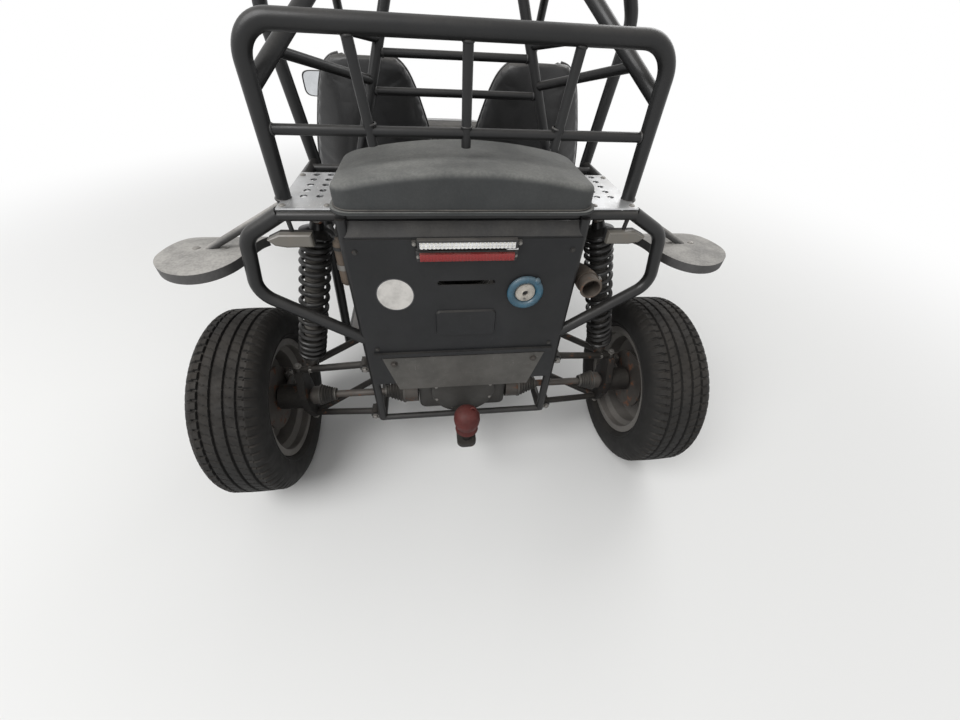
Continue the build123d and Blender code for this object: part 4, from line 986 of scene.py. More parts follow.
def make_seats(look):
    """Two padded bucket seats, each with piping down its edges."""
    piping = finish("Edge piping", (0.02, 0.02, 0.022), 0.42, dust=0.3)
    cover, stations = seat_cover(look)
    for name, side in SIDES:
        centre = side * SEAT_MIDDLE
        mesh = cover.copy()
        mesh.transform(Matrix.Translation(at(centre, 0, 0)))
        piece = placed("seat_" + name, mesh)
        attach(piece, "root")
        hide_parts("seats")
        build = Build()
        for way in (-1, 1):
            edge = []
            for front_y, front_z, back_y, back_z, half, _ in stations[4:-2]:
                edge.append(at(centre + way * (half + 0.6), (front_y + back_y) / 2, (front_z + back_z) / 2))
            build.tube(edge, 3.6, piping, 8)
        build.piece("seat_piping_" + name, "root", "seat_vinyl", smooth=60)


# Suspension and frame, in millimetres
PIVOTS = [
    # rail's x, pivot's x, y of the two pivots, z
    (272, 298, (-40, 110), 470),
    (272, 298, (-45, 120), 250),
    (185, 211, (1810, 1990), 390),
    (185, 211, (1825, 1990), 235),
]
ARM_EYES = [
    # x, y, z, which way its bolt points
    (520, 8, 412, 1),
    (520, 0, 208, -1),
    (530, 1900, 355, 1),
    (530, 1900, 195, -1),
]
HOOP_BAR_Z, HOOP_BAR_TOP = 1097, 1230
HOOP_LEAN = (-12, 160)  # the tail hoop's uprights lean back by 12 in 160
STAY_TOP, STAY_RUN = (110, 320, 1434), (162, -60, -499)  # an inner stay's upper end, and its run down


def make_pivots():
    """Brackets and pivot bolts at the inner ends of the arms, and bolts at their eyes."""
    steel = bolt_steel()
    black = black_tube()
    build = Build()
    for rail, pivot, places, z in PIVOTS:
        for side in (-1, 1):
            for y in places:
                low, high = sorted((side * (rail + 6), side * (pivot + 12)))
                for way in (-1, 1):
                    cheek = y + way * 20.5
                    build.brick((low, cheek - 1.5, z - 13), (high, cheek + 1.5, z + 13), black, 1.2)
                    build.bolt(at(side * pivot, y + way * 22, z), (0, way, 0), 13, steel, 7)
    build.piece("pivot_brackets", "root", "suspension")
    build = Build()
    for x, y, z, way in ARM_EYES:
        for side in (-1, 1):
            centre = at(side * x, y, z + way * 13.5)
            build.band((0, 2), (0, 10.5), centre, (0, 0, way), steel, 24)
            build.bolt(centre + Vector((0, 0, way * 2 * MM)), (0, 0, way), 15, steel, 8)
    build.piece("arm_eye_bolts", "root", "suspension")


def weld(build, point, axis, radius, finish):
    """A bead round a tube's end where it meets another."""
    bead = [
        (-2.6, radius - 1), (-2.0, radius + 1.3), (0, radius + 2.0), (2.0, radius + 1.3), (2.6, radius - 1),
    ]
    build.lathe(bead, at(*point), Vector(axis).normalized(), finish, 26)


def make_welds():
    """Weld beads on the tubes behind the seats and over the tail."""
    bead = finish("Painted weld", (0.015, 0.015, 0.016), 0.42, dust=0.2, rust=0.25, rust_scale=50.0,
                  grain=0.5, grain_scale=300.0)
    build = Build()
    for side in (-1, 1):
        weld(build, (side * 377, -12.5, 1085), ACROSS, 10, bead)
        for drop in (249, 324):
            x = STAY_TOP[0] + STAY_RUN[0] * drop / -STAY_RUN[2]
            y = STAY_TOP[1] + STAY_RUN[1] * drop / -STAY_RUN[2]
            weld(build, (side * (x - 14), y, STAY_TOP[2] - drop), ACROSS, 9, bead)
        weld(build, (side * 262, 262, 951), (-side * STAY_RUN[0], STAY_RUN[1], STAY_RUN[2]), 13, bead)
        weld(build, (side * 400, -2, 951), (-side * 15, -25, 310), 16, bead)
        weld(build, (side * 190, -12.5, HOOP_BAR_Z), (side * 19, *HOOP_LEAN), 10, bead)
        weld(build, (side * 206.91, -24, HOOP_BAR_TOP), (side * 19, *HOOP_LEAN), 10, bead)
    weld(build, (0, -13.5, HOOP_BAR_Z), (0, *HOOP_LEAN), 10, bead)
    weld(build, (0, -24, HOOP_BAR_TOP), (0, *HOOP_LEAN), 10, bead)
    build.piece("frame_welds", "root", "tube_black", smooth=60)


# Tail, in millimetres
PANEL_FACE = -92
DIODE = (-103.5, 9, 24)  # the first diode's x, the step to the next, and how many
RED_RIBS = 29
RED_HALF = 109
RED_SECTION = [(-8, 847), (-14.5, 848.5), (-16.2, 853), (-16.2, 861), (-14.5, 865.5), (-8, 867)]
RING_PLACE = (150, 752)
RING_RIM = [(0.4, 27), (0.4, 45), (3, 46.6), (8, 46), (12, 42), (13.2, 37), (12, 32), (8, 28.2), (3, 27)]
RING_PLUG = [
    (0.4, 0), (0.4, 26.6), (4, 26.6), (7, 24.5), (8.6, 18), (9, 9.6), (10, 9.2), (10.3, 8.4), (9.6, 7.8),
    (3, 7.6),
]
RING_NUB = [(-6, 0), (-6, 8.5), (4, 8.5), (7, 6.5), (8.2, 3), (8.4, 0)]
BLANK_PLACE = (-176, 751)
PANEL_SCREWS = ((-252, 866), (252, 866), (-244, 575), (244, 575))
PLATE_BOLTS = (-205, 205)
BALL_Y, COVER_FOOT = -195, 322
INDICATOR = [(342, 868), (342, 898), (410, 899), (438, 886), (424, 872), (400, 867)]
INDICATOR_Z = 883
INDICATOR_LENS = [
    # y, how far the outline is drawn in
    (-72, 4.0),
    (-70, 1.0),
    (-62, 0.0),
    (-58, 0.0),
]


def make_light_strip():
    """White strip lamp: tray, reflector, two rows of diodes and its end brackets."""
    build = Build()
    black, steel, chrome = dark_plastic(), bolt_steel(), lamp_chrome()
    build.brick((-114, PANEL_FACE - 17, 878), (114, PANEL_FACE - 0.4, 900), black, 2.5)
    build.brick((-108, PANEL_FACE - 19.5, 882), (108, PANEL_FACE - 17.2, 896), chrome, 0.8)
    led = finish("White diode", (0.86, 0.84, 0.72), 0.3, dust=0.1)
    first, pitch, count = DIODE
    for z in (885.6, 892.4):
        for step in range(count):
            spot = at(first + step * pitch, PANEL_FACE - 19.5, z)
            build.lathe([(0, 4.1), (1.2, 4.0), (0.6, 3.2), (0.4, 0)], spot, BACK, chrome, 14)
            build.lathe([(0.4, 1.5), (1.4, 1.1), (1.7, 0)], spot, BACK, led, 8)
    for x in (-120, 120):
        build.brick((x - 5, PANEL_FACE - 10, 883), (x + 5, PANEL_FACE - 0.4, 895), black, 1.5)
        build.bolt(at(x, PANEL_FACE - 10, 889), BACK, 6, steel, 2.5)
    piece = build.piece("light_strip_unit", "root", "lamp_clear")
    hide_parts("light_strip")


def make_red_lamp(look):
    """Red lamp: its base and the ribbed lens."""
    build = Build()
    red = lens("Red ribbed lens", look.red, 0.12, 0.25)
    build.brick((-118, PANEL_FACE - 8, 843), (118, PANEL_FACE - 0.4, 871), dark_plastic(), 3)
    rows = []
    for step in range(RED_RIBS * 4 + 1):
        x = -RED_HALF + step * 2 * RED_HALF / (RED_RIBS * 4)
        bulge = 0.8 * abs(math.sin(math.pi * step / 4))
        rows.append([at(x, PANEL_FACE + y - (bulge if y < -9 else 0), z) for y, z in RED_SECTION])
    build.grid(rows, red, around=False)
    build.cap(rows[0], red)
    build.cap(rows[-1], red)
    for x in (-113, 113):
        build.bolt(at(x, PANEL_FACE - 8, 857), BACK, 5.5, bolt_steel(), 2.5)
    piece = build.piece("red_lamp_unit", "root", "lamp_red", smooth=50)
    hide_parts("red_lamp")


def make_tail_ring(look):
    """Round fitting: a blue rim with a nub, and a pale plug with a hole."""
    build = Build()
    blue = finish("Blue ring", look.ring, 0.42, dust=0.3, scuffs=0.5, uneven=0.35, uneven_scale=40.0,
                  coat=0.3)
    pale = finish("Pale plug", (0.46, 0.43, 0.38), 0.6, dust=0.35, uneven=0.4, uneven_scale=50.0)
    x, z = RING_PLACE
    spot = at(x, PANEL_FACE, z)
    build.lathe(RING_RIM, spot, BACK, blue, 56)
    build.lathe(RING_PLUG, spot, BACK, pale, 56)
    build.band((2.6, 3.2), (0, 7.7), spot, BACK, dark_plastic(), 32)
    build.bolt(spot + Vector((-1, -8.2, -17)) * MM, BACK, 4.5, bolt_steel(), 1.8)
    build.lathe(RING_NUB, spot + Vector((26, -6, 33)) * MM, (0.35, -0.75, 0.5), blue, 28)
    piece = build.piece("tail_ring", "root", "disc_blue")
    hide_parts("tail_disc")


def make_top_strip():
    """Bent black strip that closes the gap between the panel and the deck's rear bar: a dark sheet as
    painted shade in that gap.
    """
    build = Build()
    black = dark_plastic()
    _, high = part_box("tail_panel")
    top, half = high.z / MM, high.x / MM
    section = [
        # y, z
        (-87.6, top - 12), (-87.6, top + 4), (-73, 929), (-71.5, 928), (-86.4, top + 3), (-86.4, top - 12),
    ]
    rows = [[at(x, y, z) for y, z in section] for x in np.linspace(3 - half, half - 3, 3)]
    build.grid(rows, black)
    build.cap(rows[0], black)
    build.cap(rows[-1], black)
    build.piece("tail_top_strip", "root", "panel_black", flat=True)


def make_blank_disc():
    """Plain white disc with a dark border."""
    build = Build()
    paper = finish("Worn white disc", (0.62, 0.6, 0.57), 0.5, dust=0.2, scuffs=0.3, uneven=0.3,
                   uneven_scale=30.0)
    edge = finish("Disc border", (0.05, 0.05, 0.055), 0.5, dust=0.2)
    x, z = BLANK_PLACE
    spot = at(x, PANEL_FACE, z)
    build.band((0.15, 0.5), (0, 44), spot, BACK, paper, 56)
    build.band((0.15, 0.5), (44.05, 46.5), spot, BACK, edge, 56)
    build.piece("tail_blank_disc", "root", "panel_black")


def make_tail_screws():
    """Screws of the panel, brackets of the strip lamp and bolts of the bare plate."""
    build = Build()
    screw = finish("Dark screw", (0.05, 0.048, 0.045), 0.55, 0.5, rust=0.4)
    for x, z in PANEL_SCREWS:
        build.bolt(at(x, PANEL_FACE - 0.3, z), BACK, 8, screw, 3.5)
    for side, metal in ((-1, dark_plastic()), (1, lamp_chrome())):
        x = side * 103
        build.brick((x - 14, PANEL_FACE - 12, 873.5), (x + 14, PANEL_FACE - 9.5, 878.5), metal, 1)
        build.brick((x - 14, PANEL_FACE - 12, 874), (x - 11, PANEL_FACE - 0.4, 878), metal, 1)
    rusty = finish("Rusty bolt", (0.06, 0.053, 0.048), 0.62, 0.5, rust=0.35, rust_scale=60.0, dust=0.2)
    for x in PLATE_BOLTS:
        build.bolt(at(x, PANEL_FACE - 3.2, 518), BACK, 13, rusty, 7)
    build.piece("tail_screws", "root", "panel_black")


def make_indicators(look):
    """Flat lamps below the deck: a black tray, a pale lens and a bulb behind it."""
    black = dark_plastic()
    pale = lens("Dusty pale lens", look.indicator, 0.25, 0.35)
    bulb = finish("Orange bulb", (0.7, 0.3, 0.04), 0.3)
    for name, side in SIDES:
        build = Build()
        outline = [(side * x, z) for x, z in INDICATOR]
        centre = sum(x for x, _ in outline) / len(outline)
        rows = []
        for y, inset in INDICATOR_LENS:
            wide, tall = 1 - inset / 50, 1 - inset / 15
            xs = [centre + (x - centre) * wide for x, _ in outline]
            zs = [INDICATOR_Z + (z - INDICATOR_Z) * tall for _, z in outline]
            rows.append([at(x, y, z) for x, z in zip(xs, zs)])
        build.grid(rows, pale)
        build.cap(rows[0], pale)
        back = [[at(x, y, z) for x, z in outline] for y in (-57.9, -46)]
        build.grid(back, black)
        build.cap(back[1], black)
        build.cap(back[0], black)
        build.tube([at(side * 385, -52, 897), at(side * 385, -56, 925)], 5, black, 12)
        build.lathe([(0, 0), (0, 7), (6, 8), (11, 5), (12.5, 0)], at(side * 388, -58, 884), BACK, bulb, 20)
        piece = build.piece("indicator_" + name, "root", "lamp_amber", smooth=25)
        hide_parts("rear_indicators")


def make_tow_cover(look):
    """Soft cap over the ball: a rounded bag with a rolled hem and a pull tab."""
    build = Build()
    red = finish("Dark red rubber", look.cap, 0.6, dust=0.06, uneven=0.35, uneven_scale=30.0, scuffs=0.12,
                 grain=0.2, shine=0.3)
    outer = [
        (0, 30), (-1.5, 32.6), (1.5, 35), (5, 34), (8, 31.5), (16, 30.6), (24, 33.4), (36, 38.2), (50, 39.8),
        (64, 38.4), (76, 33.6), (85, 25.2), (90.5, 14), (92.5, 0),
    ]
    inner = [
        (89, 0), (87, 12), (81, 22.5), (72, 30), (62, 34.4), (50, 35.8), (37, 34.4), (26, 30), (17, 27.4),
        (0, 30),
    ]
    build.lathe(outer + inner, at(0, BALL_Y, COVER_FOOT), UP, red, 56)
    angles = [math.pi * step / 12 for step in range(13)]
    tab = [at(17 + 8 * math.cos(angle), BALL_Y, 408 + 12 * math.sin(angle)) for angle in angles]
    build.tube(tab, 2.8, red, 10)
    piece = build.piece("ball_cover", "root", "cap_red", smooth=50)
    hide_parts("ball_cap")


# Cover, deck and mudguards, in millimetres
COVER_CORNER = 45
SEAL_CORNER, SEAL_Z = 45.5, 958.6
DECK_SCREWS = ((392, -44), (392, 150), (300, -44), (300, 150))
GUARD_RADIUS = 510  # of a rear mudguard's top about the axle
FRONT_GUARD_TILT = (0, 0.19, 0.98)


def make_cover_trim():
    """Rubber seal round the foot of the engine cover."""
    build = Build()
    low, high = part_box("engine_cover")
    x, y0, y1 = high.x / MM - 8, (low.y - AXLE_Y) / MM + 8, (high.y - AXLE_Y) / MM - 8
    corners = [
        # x, y, angle where its arc starts
        (x - COVER_CORNER, y1 - COVER_CORNER, 0),
        (-x + COVER_CORNER, y1 - COVER_CORNER, 90),
        (-x + COVER_CORNER, y0 + COVER_CORNER, 180),
        (x - COVER_CORNER, y0 + COVER_CORNER, 270),
    ]
    ring = []
    for cx, cy, start in corners:
        for step in range(9):
            angle = math.radians(start + step * 11.25)
            ring.append(at(cx + SEAL_CORNER * math.cos(angle), cy + SEAL_CORNER * math.sin(angle), SEAL_Z))
    build.tube(ring, 2.2, bush_rubber(), 8, closed=True)
    build.piece("engine_cover_trim", "root", "cover_grey")


def make_deck_screws():
    """Domed screws that hold the deck plates down."""
    build = Build()
    screw = [(0, 0), (0, 7), (1.2, 7), (3.2, 4), (3.6, 0)]
    for side in (-1, 1):
        for x, y in DECK_SCREWS:
            build.lathe(screw, at(side * x, y, 951), UP, bolt_steel(), 20)
    build.piece("deck_screws", "root", "deck_alloy")


def make_mudguard_fittings():
    """Domed screws of the mudguards."""
    build = Build()
    steel = bolt_steel()
    screw = [(0, 0), (0, 9), (1.5, 9), (4, 5), (4.6, 0)]
    for side in (-1, 1):
        for x, y in ((600, 60), (668, 60)):
            z = DRIVE_Z + math.sqrt(GUARD_RADIUS ** 2 - y ** 2)
            build.lathe(screw, at(side * x, y, z - 0.3), (0, 0.1, 1), steel, 24)
    build.piece("mudguard_screws", "root", "mudguard")
    small_screw = [(0, 0), (0, 8), (1.4, 8), (3.6, 4.6), (4.2, 0)]
    for name, side in SIDES:
        build = Build()
        for x in (575, 628):
            build.lathe(small_screw, at(side * x, 1962, 589.6), FRONT_GUARD_TILT, steel, 20)
        build.piece("front_mudguard_screws_" + name, "knuckle_" + name, "mudguard")


# Engine bay, in millimetres
GEARBOX_COVER = [(0, 0), (0, 104), (5, 108), (13, 104), (20, 84), (24, 40), (25, 0)]
GEARBOX_Z = 345
GEARBOX_BOLTS = (8, 96, 80)  # how many, and half the width and height of the oval that they stand on
CANISTER = [
    (0, 0), (0, 11), (4, 14.5), (12, 15.5), (108, 15.5), (114, 14), (117, 9), (124, 8), (126, 5), (126, 0),
]
EXHAUST_MOUTH = [(-2, 23.4), (0.4, 24.2), (1, 26), (0, 28.4), (-3, 29), (-6, 28.4), (-7, 27)]
EXHAUST_X, EXHAUST_Z = 323, 760


def make_engine_fittings():
    """Cover of the gearbox and the engine's top cover with their bolts."""
    build = Build()
    steel = bolt_steel()
    build.lathe(GEARBOX_COVER, at(0, -47.5, GEARBOX_Z), BACK, cast_alloy(), 56)
    count, wide, tall = GEARBOX_BOLTS
    for step in range(count):
        angle = math.radians((step + 0.5) * 360 / count)
        build.bolt(at(math.cos(angle) * wide, -61, GEARBOX_Z + math.sin(angle) * tall), BACK, 9, steel, 5)
    build.brick((-88, 78, 799), (88, 222, 816), cast_alloy(), 6)
    for x in (-74, 0, 74):
        for y in (92, 208):
            build.bolt(at(x, y, 816), UP, 8, steel, 4)
    build.piece("engine_covers", "root", "engine_alloy")


def make_air_box():
    """Air box at the engine's left, with its seam, clips and hose."""
    build = Build()
    black = dark_plastic()
    build.brick((-246, 40, 690), (-150, 210, 820), black, 18)
    build.brick((-248, 36, 748), (-148, 214, 756), black, 2)
    hose = [at(-150, 150, 770), at(-128, 150, 768), at(-108, 150, 762), at(-92, 150, 757)]
    build.tube(hose, 24, bush_rubber(), 24)
    for y in (60, 190):
        build.bolt(at(-248, y, 752), (-1, 0, 0), 8, bolt_steel(), 4)
    build.brick((-262, 60, 720), (-244, 90, 744), black, 2)
    build.brick((-262, 160, 720), (-244, 190, 744), black, 2)
    build.piece("air_box", "root", "panel_black")


def make_canister():
    """Small upright canister beside the left coil-over, clamped to the post of the tail."""
    build = Build()
    brown = finish("Stained canister", (0.10, 0.072, 0.05), 0.55, dust=0.3, rust=0.35, rust_scale=40.0,
                   uneven=0.4, uneven_scale=30.0)
    foot = at(-297, -28, 748)
    build.lathe(CANISTER, foot, UP, brown, 36)
    build.band((44, 58), (15.6, 17.2), foot, UP, bolt_steel(), 36)
    build.band((96, 104), (15.6, 16.8), foot, UP, dark_plastic(), 36)
    turn = Matrix.Rotation(math.radians(62), 3, "Z").inverted()
    build.brick((-306, -29.5, 793), (-268, -26.5, 805), bolt_steel(), 1, turn, (-297, -28, 799))
    hose = [at(-297, -28, 874), at(-297, -26, 886), at(-291, -16, 897), at(-281, 4, 899), at(-268, 30, 896)]
    build.tube(smooth_rows(hose, 24), 5, bush_rubber(), 12)
    build.piece("side_canister", "root", "exhaust_steel")


def make_exhaust_fittings():
    """Clamp, rolled mouth and head flange of the exhaust."""
    build = Build()
    steel = finish("Browned steel", (0.09, 0.07, 0.055), 0.55, 0.5, dust=0.3, rust=0.5, rust_scale=26.0)
    build.lathe(EXHAUST_MOUTH, at(EXHAUST_X, -100, EXHAUST_Z), BACK, steel, 40)
    build.band((0, 16), (26.6, 29.4), at(EXHAUST_X, -52, EXHAUST_Z), BACK, steel, 40)
    build.brick((350, -70, 754), (362, -54, 766), steel, 2)
    build.bolt(at(356, -62, 766), UP, 8, bolt_steel(), 4)
    build.brick((92, 112, 712), (100, 188, 786), steel, 3)
    for y, z in ((120, 722), (180, 722), (120, 776), (180, 776)):
        build.bolt(at(100, y, z), ACROSS, 10, bolt_steel(), 5)
    build.piece("exhaust_fittings", "root", "exhaust_steel")


# Cabin, in millimetres
DASH_FACE = 1338
DIALS = (-312, -218)
DIAL_Z, HANDLE_Z = 748, 752
HANDLE_ENDS = (190, 330)
DIAL_RIM = [(0, 0), (0, 41), (12, 41), (14, 39), (14, 35), (8, 34), (6, 0)]
DIAL_GLASS = [(11, 0), (11, 35), (11.9, 35), (12.4, 20), (12.6, 0)]
DIAL_MARKS = (-40, 13, 21)  # the first mark's angle, the step to the next, and how many
STEERING_HUB = (-265, 1130, 850)
STEERING_TILT = 38
HORN_PAD = [(0, 0), (0, 33), (3, 34), (8, 32), (12, 26), (14, 14), (14.6, 0)]
MIRROR_X, MIRROR_Z = 560, 985
MIRROR_WIDE, MIRROR_TALL, MIRROR_SQUARENESS = 75, 50, 0.45  # half its width, and half its height
MIRROR_FOOT = (402.6, 1311, 950)
MIRROR_SHELL = [
    # y, share of the full outline
    (1303.5, 0.93), (1302.5, 0.97), (1305, 1.0), (1316, 0.985), (1326, 0.9), (1331, 0.74), (1333.5, 0.45),
    (1334, 0.05),
]
MIRROR_COLUMNS = 48
MIRROR_BOSS = [(0, 7), (0, 12), (6, 13), (10, 9), (10, 0)]


def add_dial(build, x, out, face):
    """One round instrument with its marks, its needle and its glass."""
    black = dark_plastic()
    white = finish("Dial marks", (0.75, 0.75, 0.72), 0.5)
    needle = finish("Needle", (0.6, 0.08, 0.02), 0.5)
    glass = lens("Dial glass", (0.95, 0.96, 0.97), 0.04, 0.95)
    spot = at(x, DASH_FACE, DIAL_Z)
    side = Vector(ACROSS)
    up = out.cross(side)
    build.lathe(DIAL_RIM, spot, out, black, 44)
    build.band((6.2, 6.6), (0, 33.6), spot, out, face, 40)
    first, step_angle, count = DIAL_MARKS
    for step in range(count):
        angle = math.radians(first + step_angle * step)
        way = side * math.cos(angle) + up * -math.sin(angle)
        length = 6 if step % 4 == 0 else 3.5
        foot = spot + out * 7 * MM
        build.tube([foot + way * (31 - length) * MM, foot + way * 31 * MM], 0.5, white, 5)
    pin = spot + out * 8.4 * MM
    build.tube([pin, pin + (side * -0.7 - up * 0.7) * 26 * MM], 0.9, needle, 6)
    build.lathe([(7, 0), (7, 4), (10, 3.4), (10.6, 0)], spot, out, black, 18)
    build.lathe(DIAL_GLASS, spot, out, glass, 40)


def make_dash_fittings():
    """Two dials, a row of rocker switches and a grab handle on the dash."""
    black = dark_plastic()
    face = finish("Dial face", (0.02, 0.02, 0.022), 0.5)
    out = Vector((0, -1, 0.1)).normalized()
    build = Build()
    for x in DIALS:
        add_dial(build, x, out, face)
    for step in range(5):
        x = -112 + step * 34
        build.brick((x - 12, 1331, 738), (x + 12, 1342, 762), black, 2)
        build.brick((x - 8.5, 1327.5, 741), (x + 8.5, 1334, 759), face, 1.5, Matrix.Rotation(0.16, 3, "X"))
    low, high = HANDLE_ENDS
    route = (
        (low, DASH_FACE), (low, 1312), (low + 8, 1304), (high - 8, 1304), (high, 1312), (high, DASH_FACE),
    )
    build.tube([at(x, y, HANDLE_Z) for x, y in route], 8, bush_rubber(), 16)
    for x in HANDLE_ENDS:
        build.lathe([(0, 0), (0, 16), (4, 15), (5, 0)], at(x, DASH_FACE, HANDLE_Z), out, black, 28)
    for x in (-350, 350):
        build.bolt(at(x, 1339, 770), BACK, 8, bolt_steel(), 3)
    build.piece("dash_fittings", "root", "dash_black")


def make_steering_fittings():
    """Horn pad and screws on the steering wheel's hub."""
    build = Build()
    tilt = math.radians(STEERING_TILT)
    out = Vector((0, -math.cos(tilt), math.sin(tilt)))
    hub = at(*STEERING_HUB) + out * 15.7 * MM
    button = finish("Horn button", (0.05, 0.05, 0.052), 0.3, coat=0.3)
    build.lathe(HORN_PAD, hub, out, dark_plastic(), 44)
    build.lathe([(13.2, 0), (13.2, 15), (16.4, 13.5), (17.2, 0)], hub, out, button, 32)
    side = Vector(ACROSS)
    up = out.cross(side)
    for step in range(6):
        angle = math.radians(60 * step)
        spot = hub + (side * math.cos(angle) + up * math.sin(angle)) * 25 * MM + out * 11.4 * MM
        build.bolt(spot, out, 5, bolt_steel(), 2.4)
    build.piece("steering_wheel_hub", "steering_wheel", "rubber")


def make_pedal_pads():
    """Ribbed rubber pads on the three pedals."""
    build = Build()
    rubber = finish("Pad rubber", (0.022, 0.022, 0.022), 0.8, dust=0.5)
    for x in (-330, -265, -200):
        build.brick((x - 26, 1464.5, 358), (x + 26, 1471.5, 432), rubber, 3)
        for row in range(6):
            z = 366 + row * 11
            build.brick((x - 21, 1461.5, z), (x + 21, 1465, z + 5), rubber, 1.5)
    build.piece("pedal_pads", "root", "rubber")


def mirror_row(centre, y, share):
    """One oblong row of points round a mirror's shell."""
    row = []
    for step in range(MIRROR_COLUMNS):
        angle = 2 * math.pi * step / MIRROR_COLUMNS
        reach_x = MIRROR_WIDE * share * squarish(math.cos(angle), MIRROR_SQUARENESS)
        reach_z = MIRROR_TALL * share * squarish(math.sin(angle), MIRROR_SQUARENESS)
        row.append(at(centre + reach_x, y, MIRROR_Z + reach_z))
    return row


def make_mirrors():
    """Door mirrors: a rounded shell, the glass set in its rim, and the arm with its clamp."""
    black = finish("Mirror shell", (0.025, 0.025, 0.027), 0.35, dust=0.4, scuffs=0.3, coat=0.3)
    glass = finish("Mirror glass", (0.7, 0.72, 0.74), 0.04, 1.0, dust=0.12)
    for name, side in SIDES:
        build = Build()
        centre = side * MIRROR_X
        rows = [mirror_row(centre, y, share) for y, share in MIRROR_SHELL]
        build.grid(rows, black)
        middle = at(centre, 1304.5, MIRROR_Z)
        inset = [Vector(((p.x - centre * MM) * 0.985, 0, (p.z - MIRROR_Z * MM) * 0.985)) for p in rows[0]]
        build.cap([middle + step for step in inset], glass)
        foot = at(side * MIRROR_FOOT[0], *MIRROR_FOOT[1:])
        arm = [foot, at(side * 440, 1315, 962), at(side * 480, 1318, 976), at(side * 512, 1318, 985)]
        build.tube(arm, 7, black, 14)
        build.lathe(MIRROR_BOSS, at(side * 492, 1318, 980), (side, 0, 0.3), black, 24)
        build.band((-11, 11), (15.6, 18.6), foot, (0, 0.59, -0.81), black, 32)
        piece = build.piece("mirror_" + name, "root", "mirror_black")
        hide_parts("mirrors")


# Nose, in millimetres
HOOD_STATIONS = [
    # y, half width, lowest z, highest z
    (1480, 335, 612, 820), (1600, 326, 610, 806), (1720, 311, 608, 782), (1820, 294, 607, 755),
    (1900, 275, 605, 727), (1990, 258, 586, 698), (2080, 239, 562, 665), (2165, 219, 520, 628),
    (2215, 205, 488, 600), (2232, 196, 478, 585),
]
HOOD_ROWS = 46
HOOD_COLUMNS = 56
HOOD_SHEET = 4
HOOD_SQUARENESS = 0.42
CREASE_DEPTH, CREASE_SHARE, CREASE_WIDTH = 5.0, 0.45, 14  # the share is of the hood's half width
HOOD_NOSE = [
    # share of the last station's size, how far ahead of it
    (0.985, 2.0), (0.96, 2.8), (0.6, 3.0), (0.2, 3.0), (0.02, 3.0),
]
HOOD_SCREW = [(0, 0), (0, 13), (2, 13), (4.4, 9), (4.8, 0)]
HOOD_SCREW_PLACES = ((250, 1540, 808), (-250, 1540, 808), (150, 2120, 643), (-150, 2120, 643))
LAMP_X = 185
LAMP_BOWL = [
    (0, 0), (0, 26), (3, 38), (12, 52), (26, 62), (46, 67.5), (80, 68.5), (80, 66), (46, 64.5), (28, 59),
    (16, 50), (8, 0),
]
LAMP_RING = [(76, 66), (76, 70), (84, 70), (89, 68.5), (90, 65), (87, 62.5), (82, 63)]
LAMP_REFLECTOR = [(26, 9), (30, 20), (38, 33), (50, 46), (66, 56), (82, 63), (83, 61), (68, 54), (52, 44)]
LAMP_BULB = [(22, 0), (22, 11), (34, 9), (36, 6), (54, 5.4), (57, 0)]
LAMP_GLASS = [(82, 62.6), (84.5, 60), (87.5, 40), (89, 0), (86.5, 0), (85, 40), (82, 58)]


def hood_row(y, half, low, high, shrink):
    """Half an oval section over the hood from its left foot to its right one."""
    points = []
    for step in range(HOOD_COLUMNS + 1):
        angle = math.pi * (1 - step / HOOD_COLUMNS)
        s = math.sin(angle)
        x = (half - shrink) * squarish(math.cos(angle), HOOD_SQUARENESS)
        z = low + (high - shrink - low) * abs(s) ** 0.5
        crease = CREASE_DEPTH * math.exp(-((abs(x) - half * CREASE_SHARE) / CREASE_WIDTH) ** 2)
        points.append(at(x, y, z - (crease if s > 0.6 else 0)))
    return points


def make_hood():
    """Moulded hood over the nose, with a rolled edge, creases and its fasteners."""
    build = Build()
    skin = finish("Black hood moulding", (0.010, 0.0105, 0.0115), 0.3, dust=0.12, dust_scale=5.0, scuffs=0.2,
                  coat=0.3, shine=0.35)
    stations = smooth_rows(HOOD_STATIONS, HOOD_ROWS)
    rows = []
    for y, half, low, high in stations:
        rows.append(hood_row(y, half, low, high, 0) + hood_row(y - 3, half, low, high, HOOD_SHEET)[::-1])
    y, half, low, high = stations[-1]
    middle = (low + high) / 2
    for grow, ahead in HOOD_NOSE:
        size = (half * grow, middle + (low - middle) * grow, middle + (high - middle) * grow)
        inner = hood_row(y + ahead - 4, *size, HOOD_SHEET * grow)
        rows.append(hood_row(y + ahead, *size, 0) + inner[::-1])
    build.grid(rows, skin)
    build.cap(rows[0], skin)
    for place in HOOD_SCREW_PLACES:
        build.lathe(HOOD_SCREW, at(*place), (0, 0.25, 1), bolt_steel(), 28)
    piece = build.piece("nose_hood", "root", "hood_black", smooth=44)
    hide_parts("nose_body")


def make_headlamps():
    """Round lamps: bowl, bright ring, reflector, bulb and glass, on a stem."""
    black, chrome = dark_plastic(), lamp_chrome()
    glass = lens("Headlamp glass", (0.93, 0.95, 0.96), 0.05, 0.92)
    for name, side in SIDES:
        build = Build()
        x = side * LAMP_X
        back = at(x, 2230, 520)
        build.lathe(LAMP_BOWL, back, AHEAD, black, 56)
        build.lathe(LAMP_RING, back, AHEAD, chrome, 56)
        build.lathe(LAMP_REFLECTOR, back, AHEAD, chrome, 56)
        build.lathe(LAMP_BULB, back, AHEAD, chrome, 24)
        build.lathe(LAMP_GLASS, back, AHEAD, glass, 56)
        build.tube([at(x, 2290, 460), at(x, 2300, 448), at(x, 2336, 422)], 9, black, 16)
        build.band((-9, 9), (0, 13), at(x, 2290, 450), ACROSS, black, 28)
        build.bolt(at(side * 194, 2290, 450), (side, 0, 0), 13, bolt_steel())
        piece = build.piece("headlamp_" + name, "root", "lamp_clear")
        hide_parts("headlights")


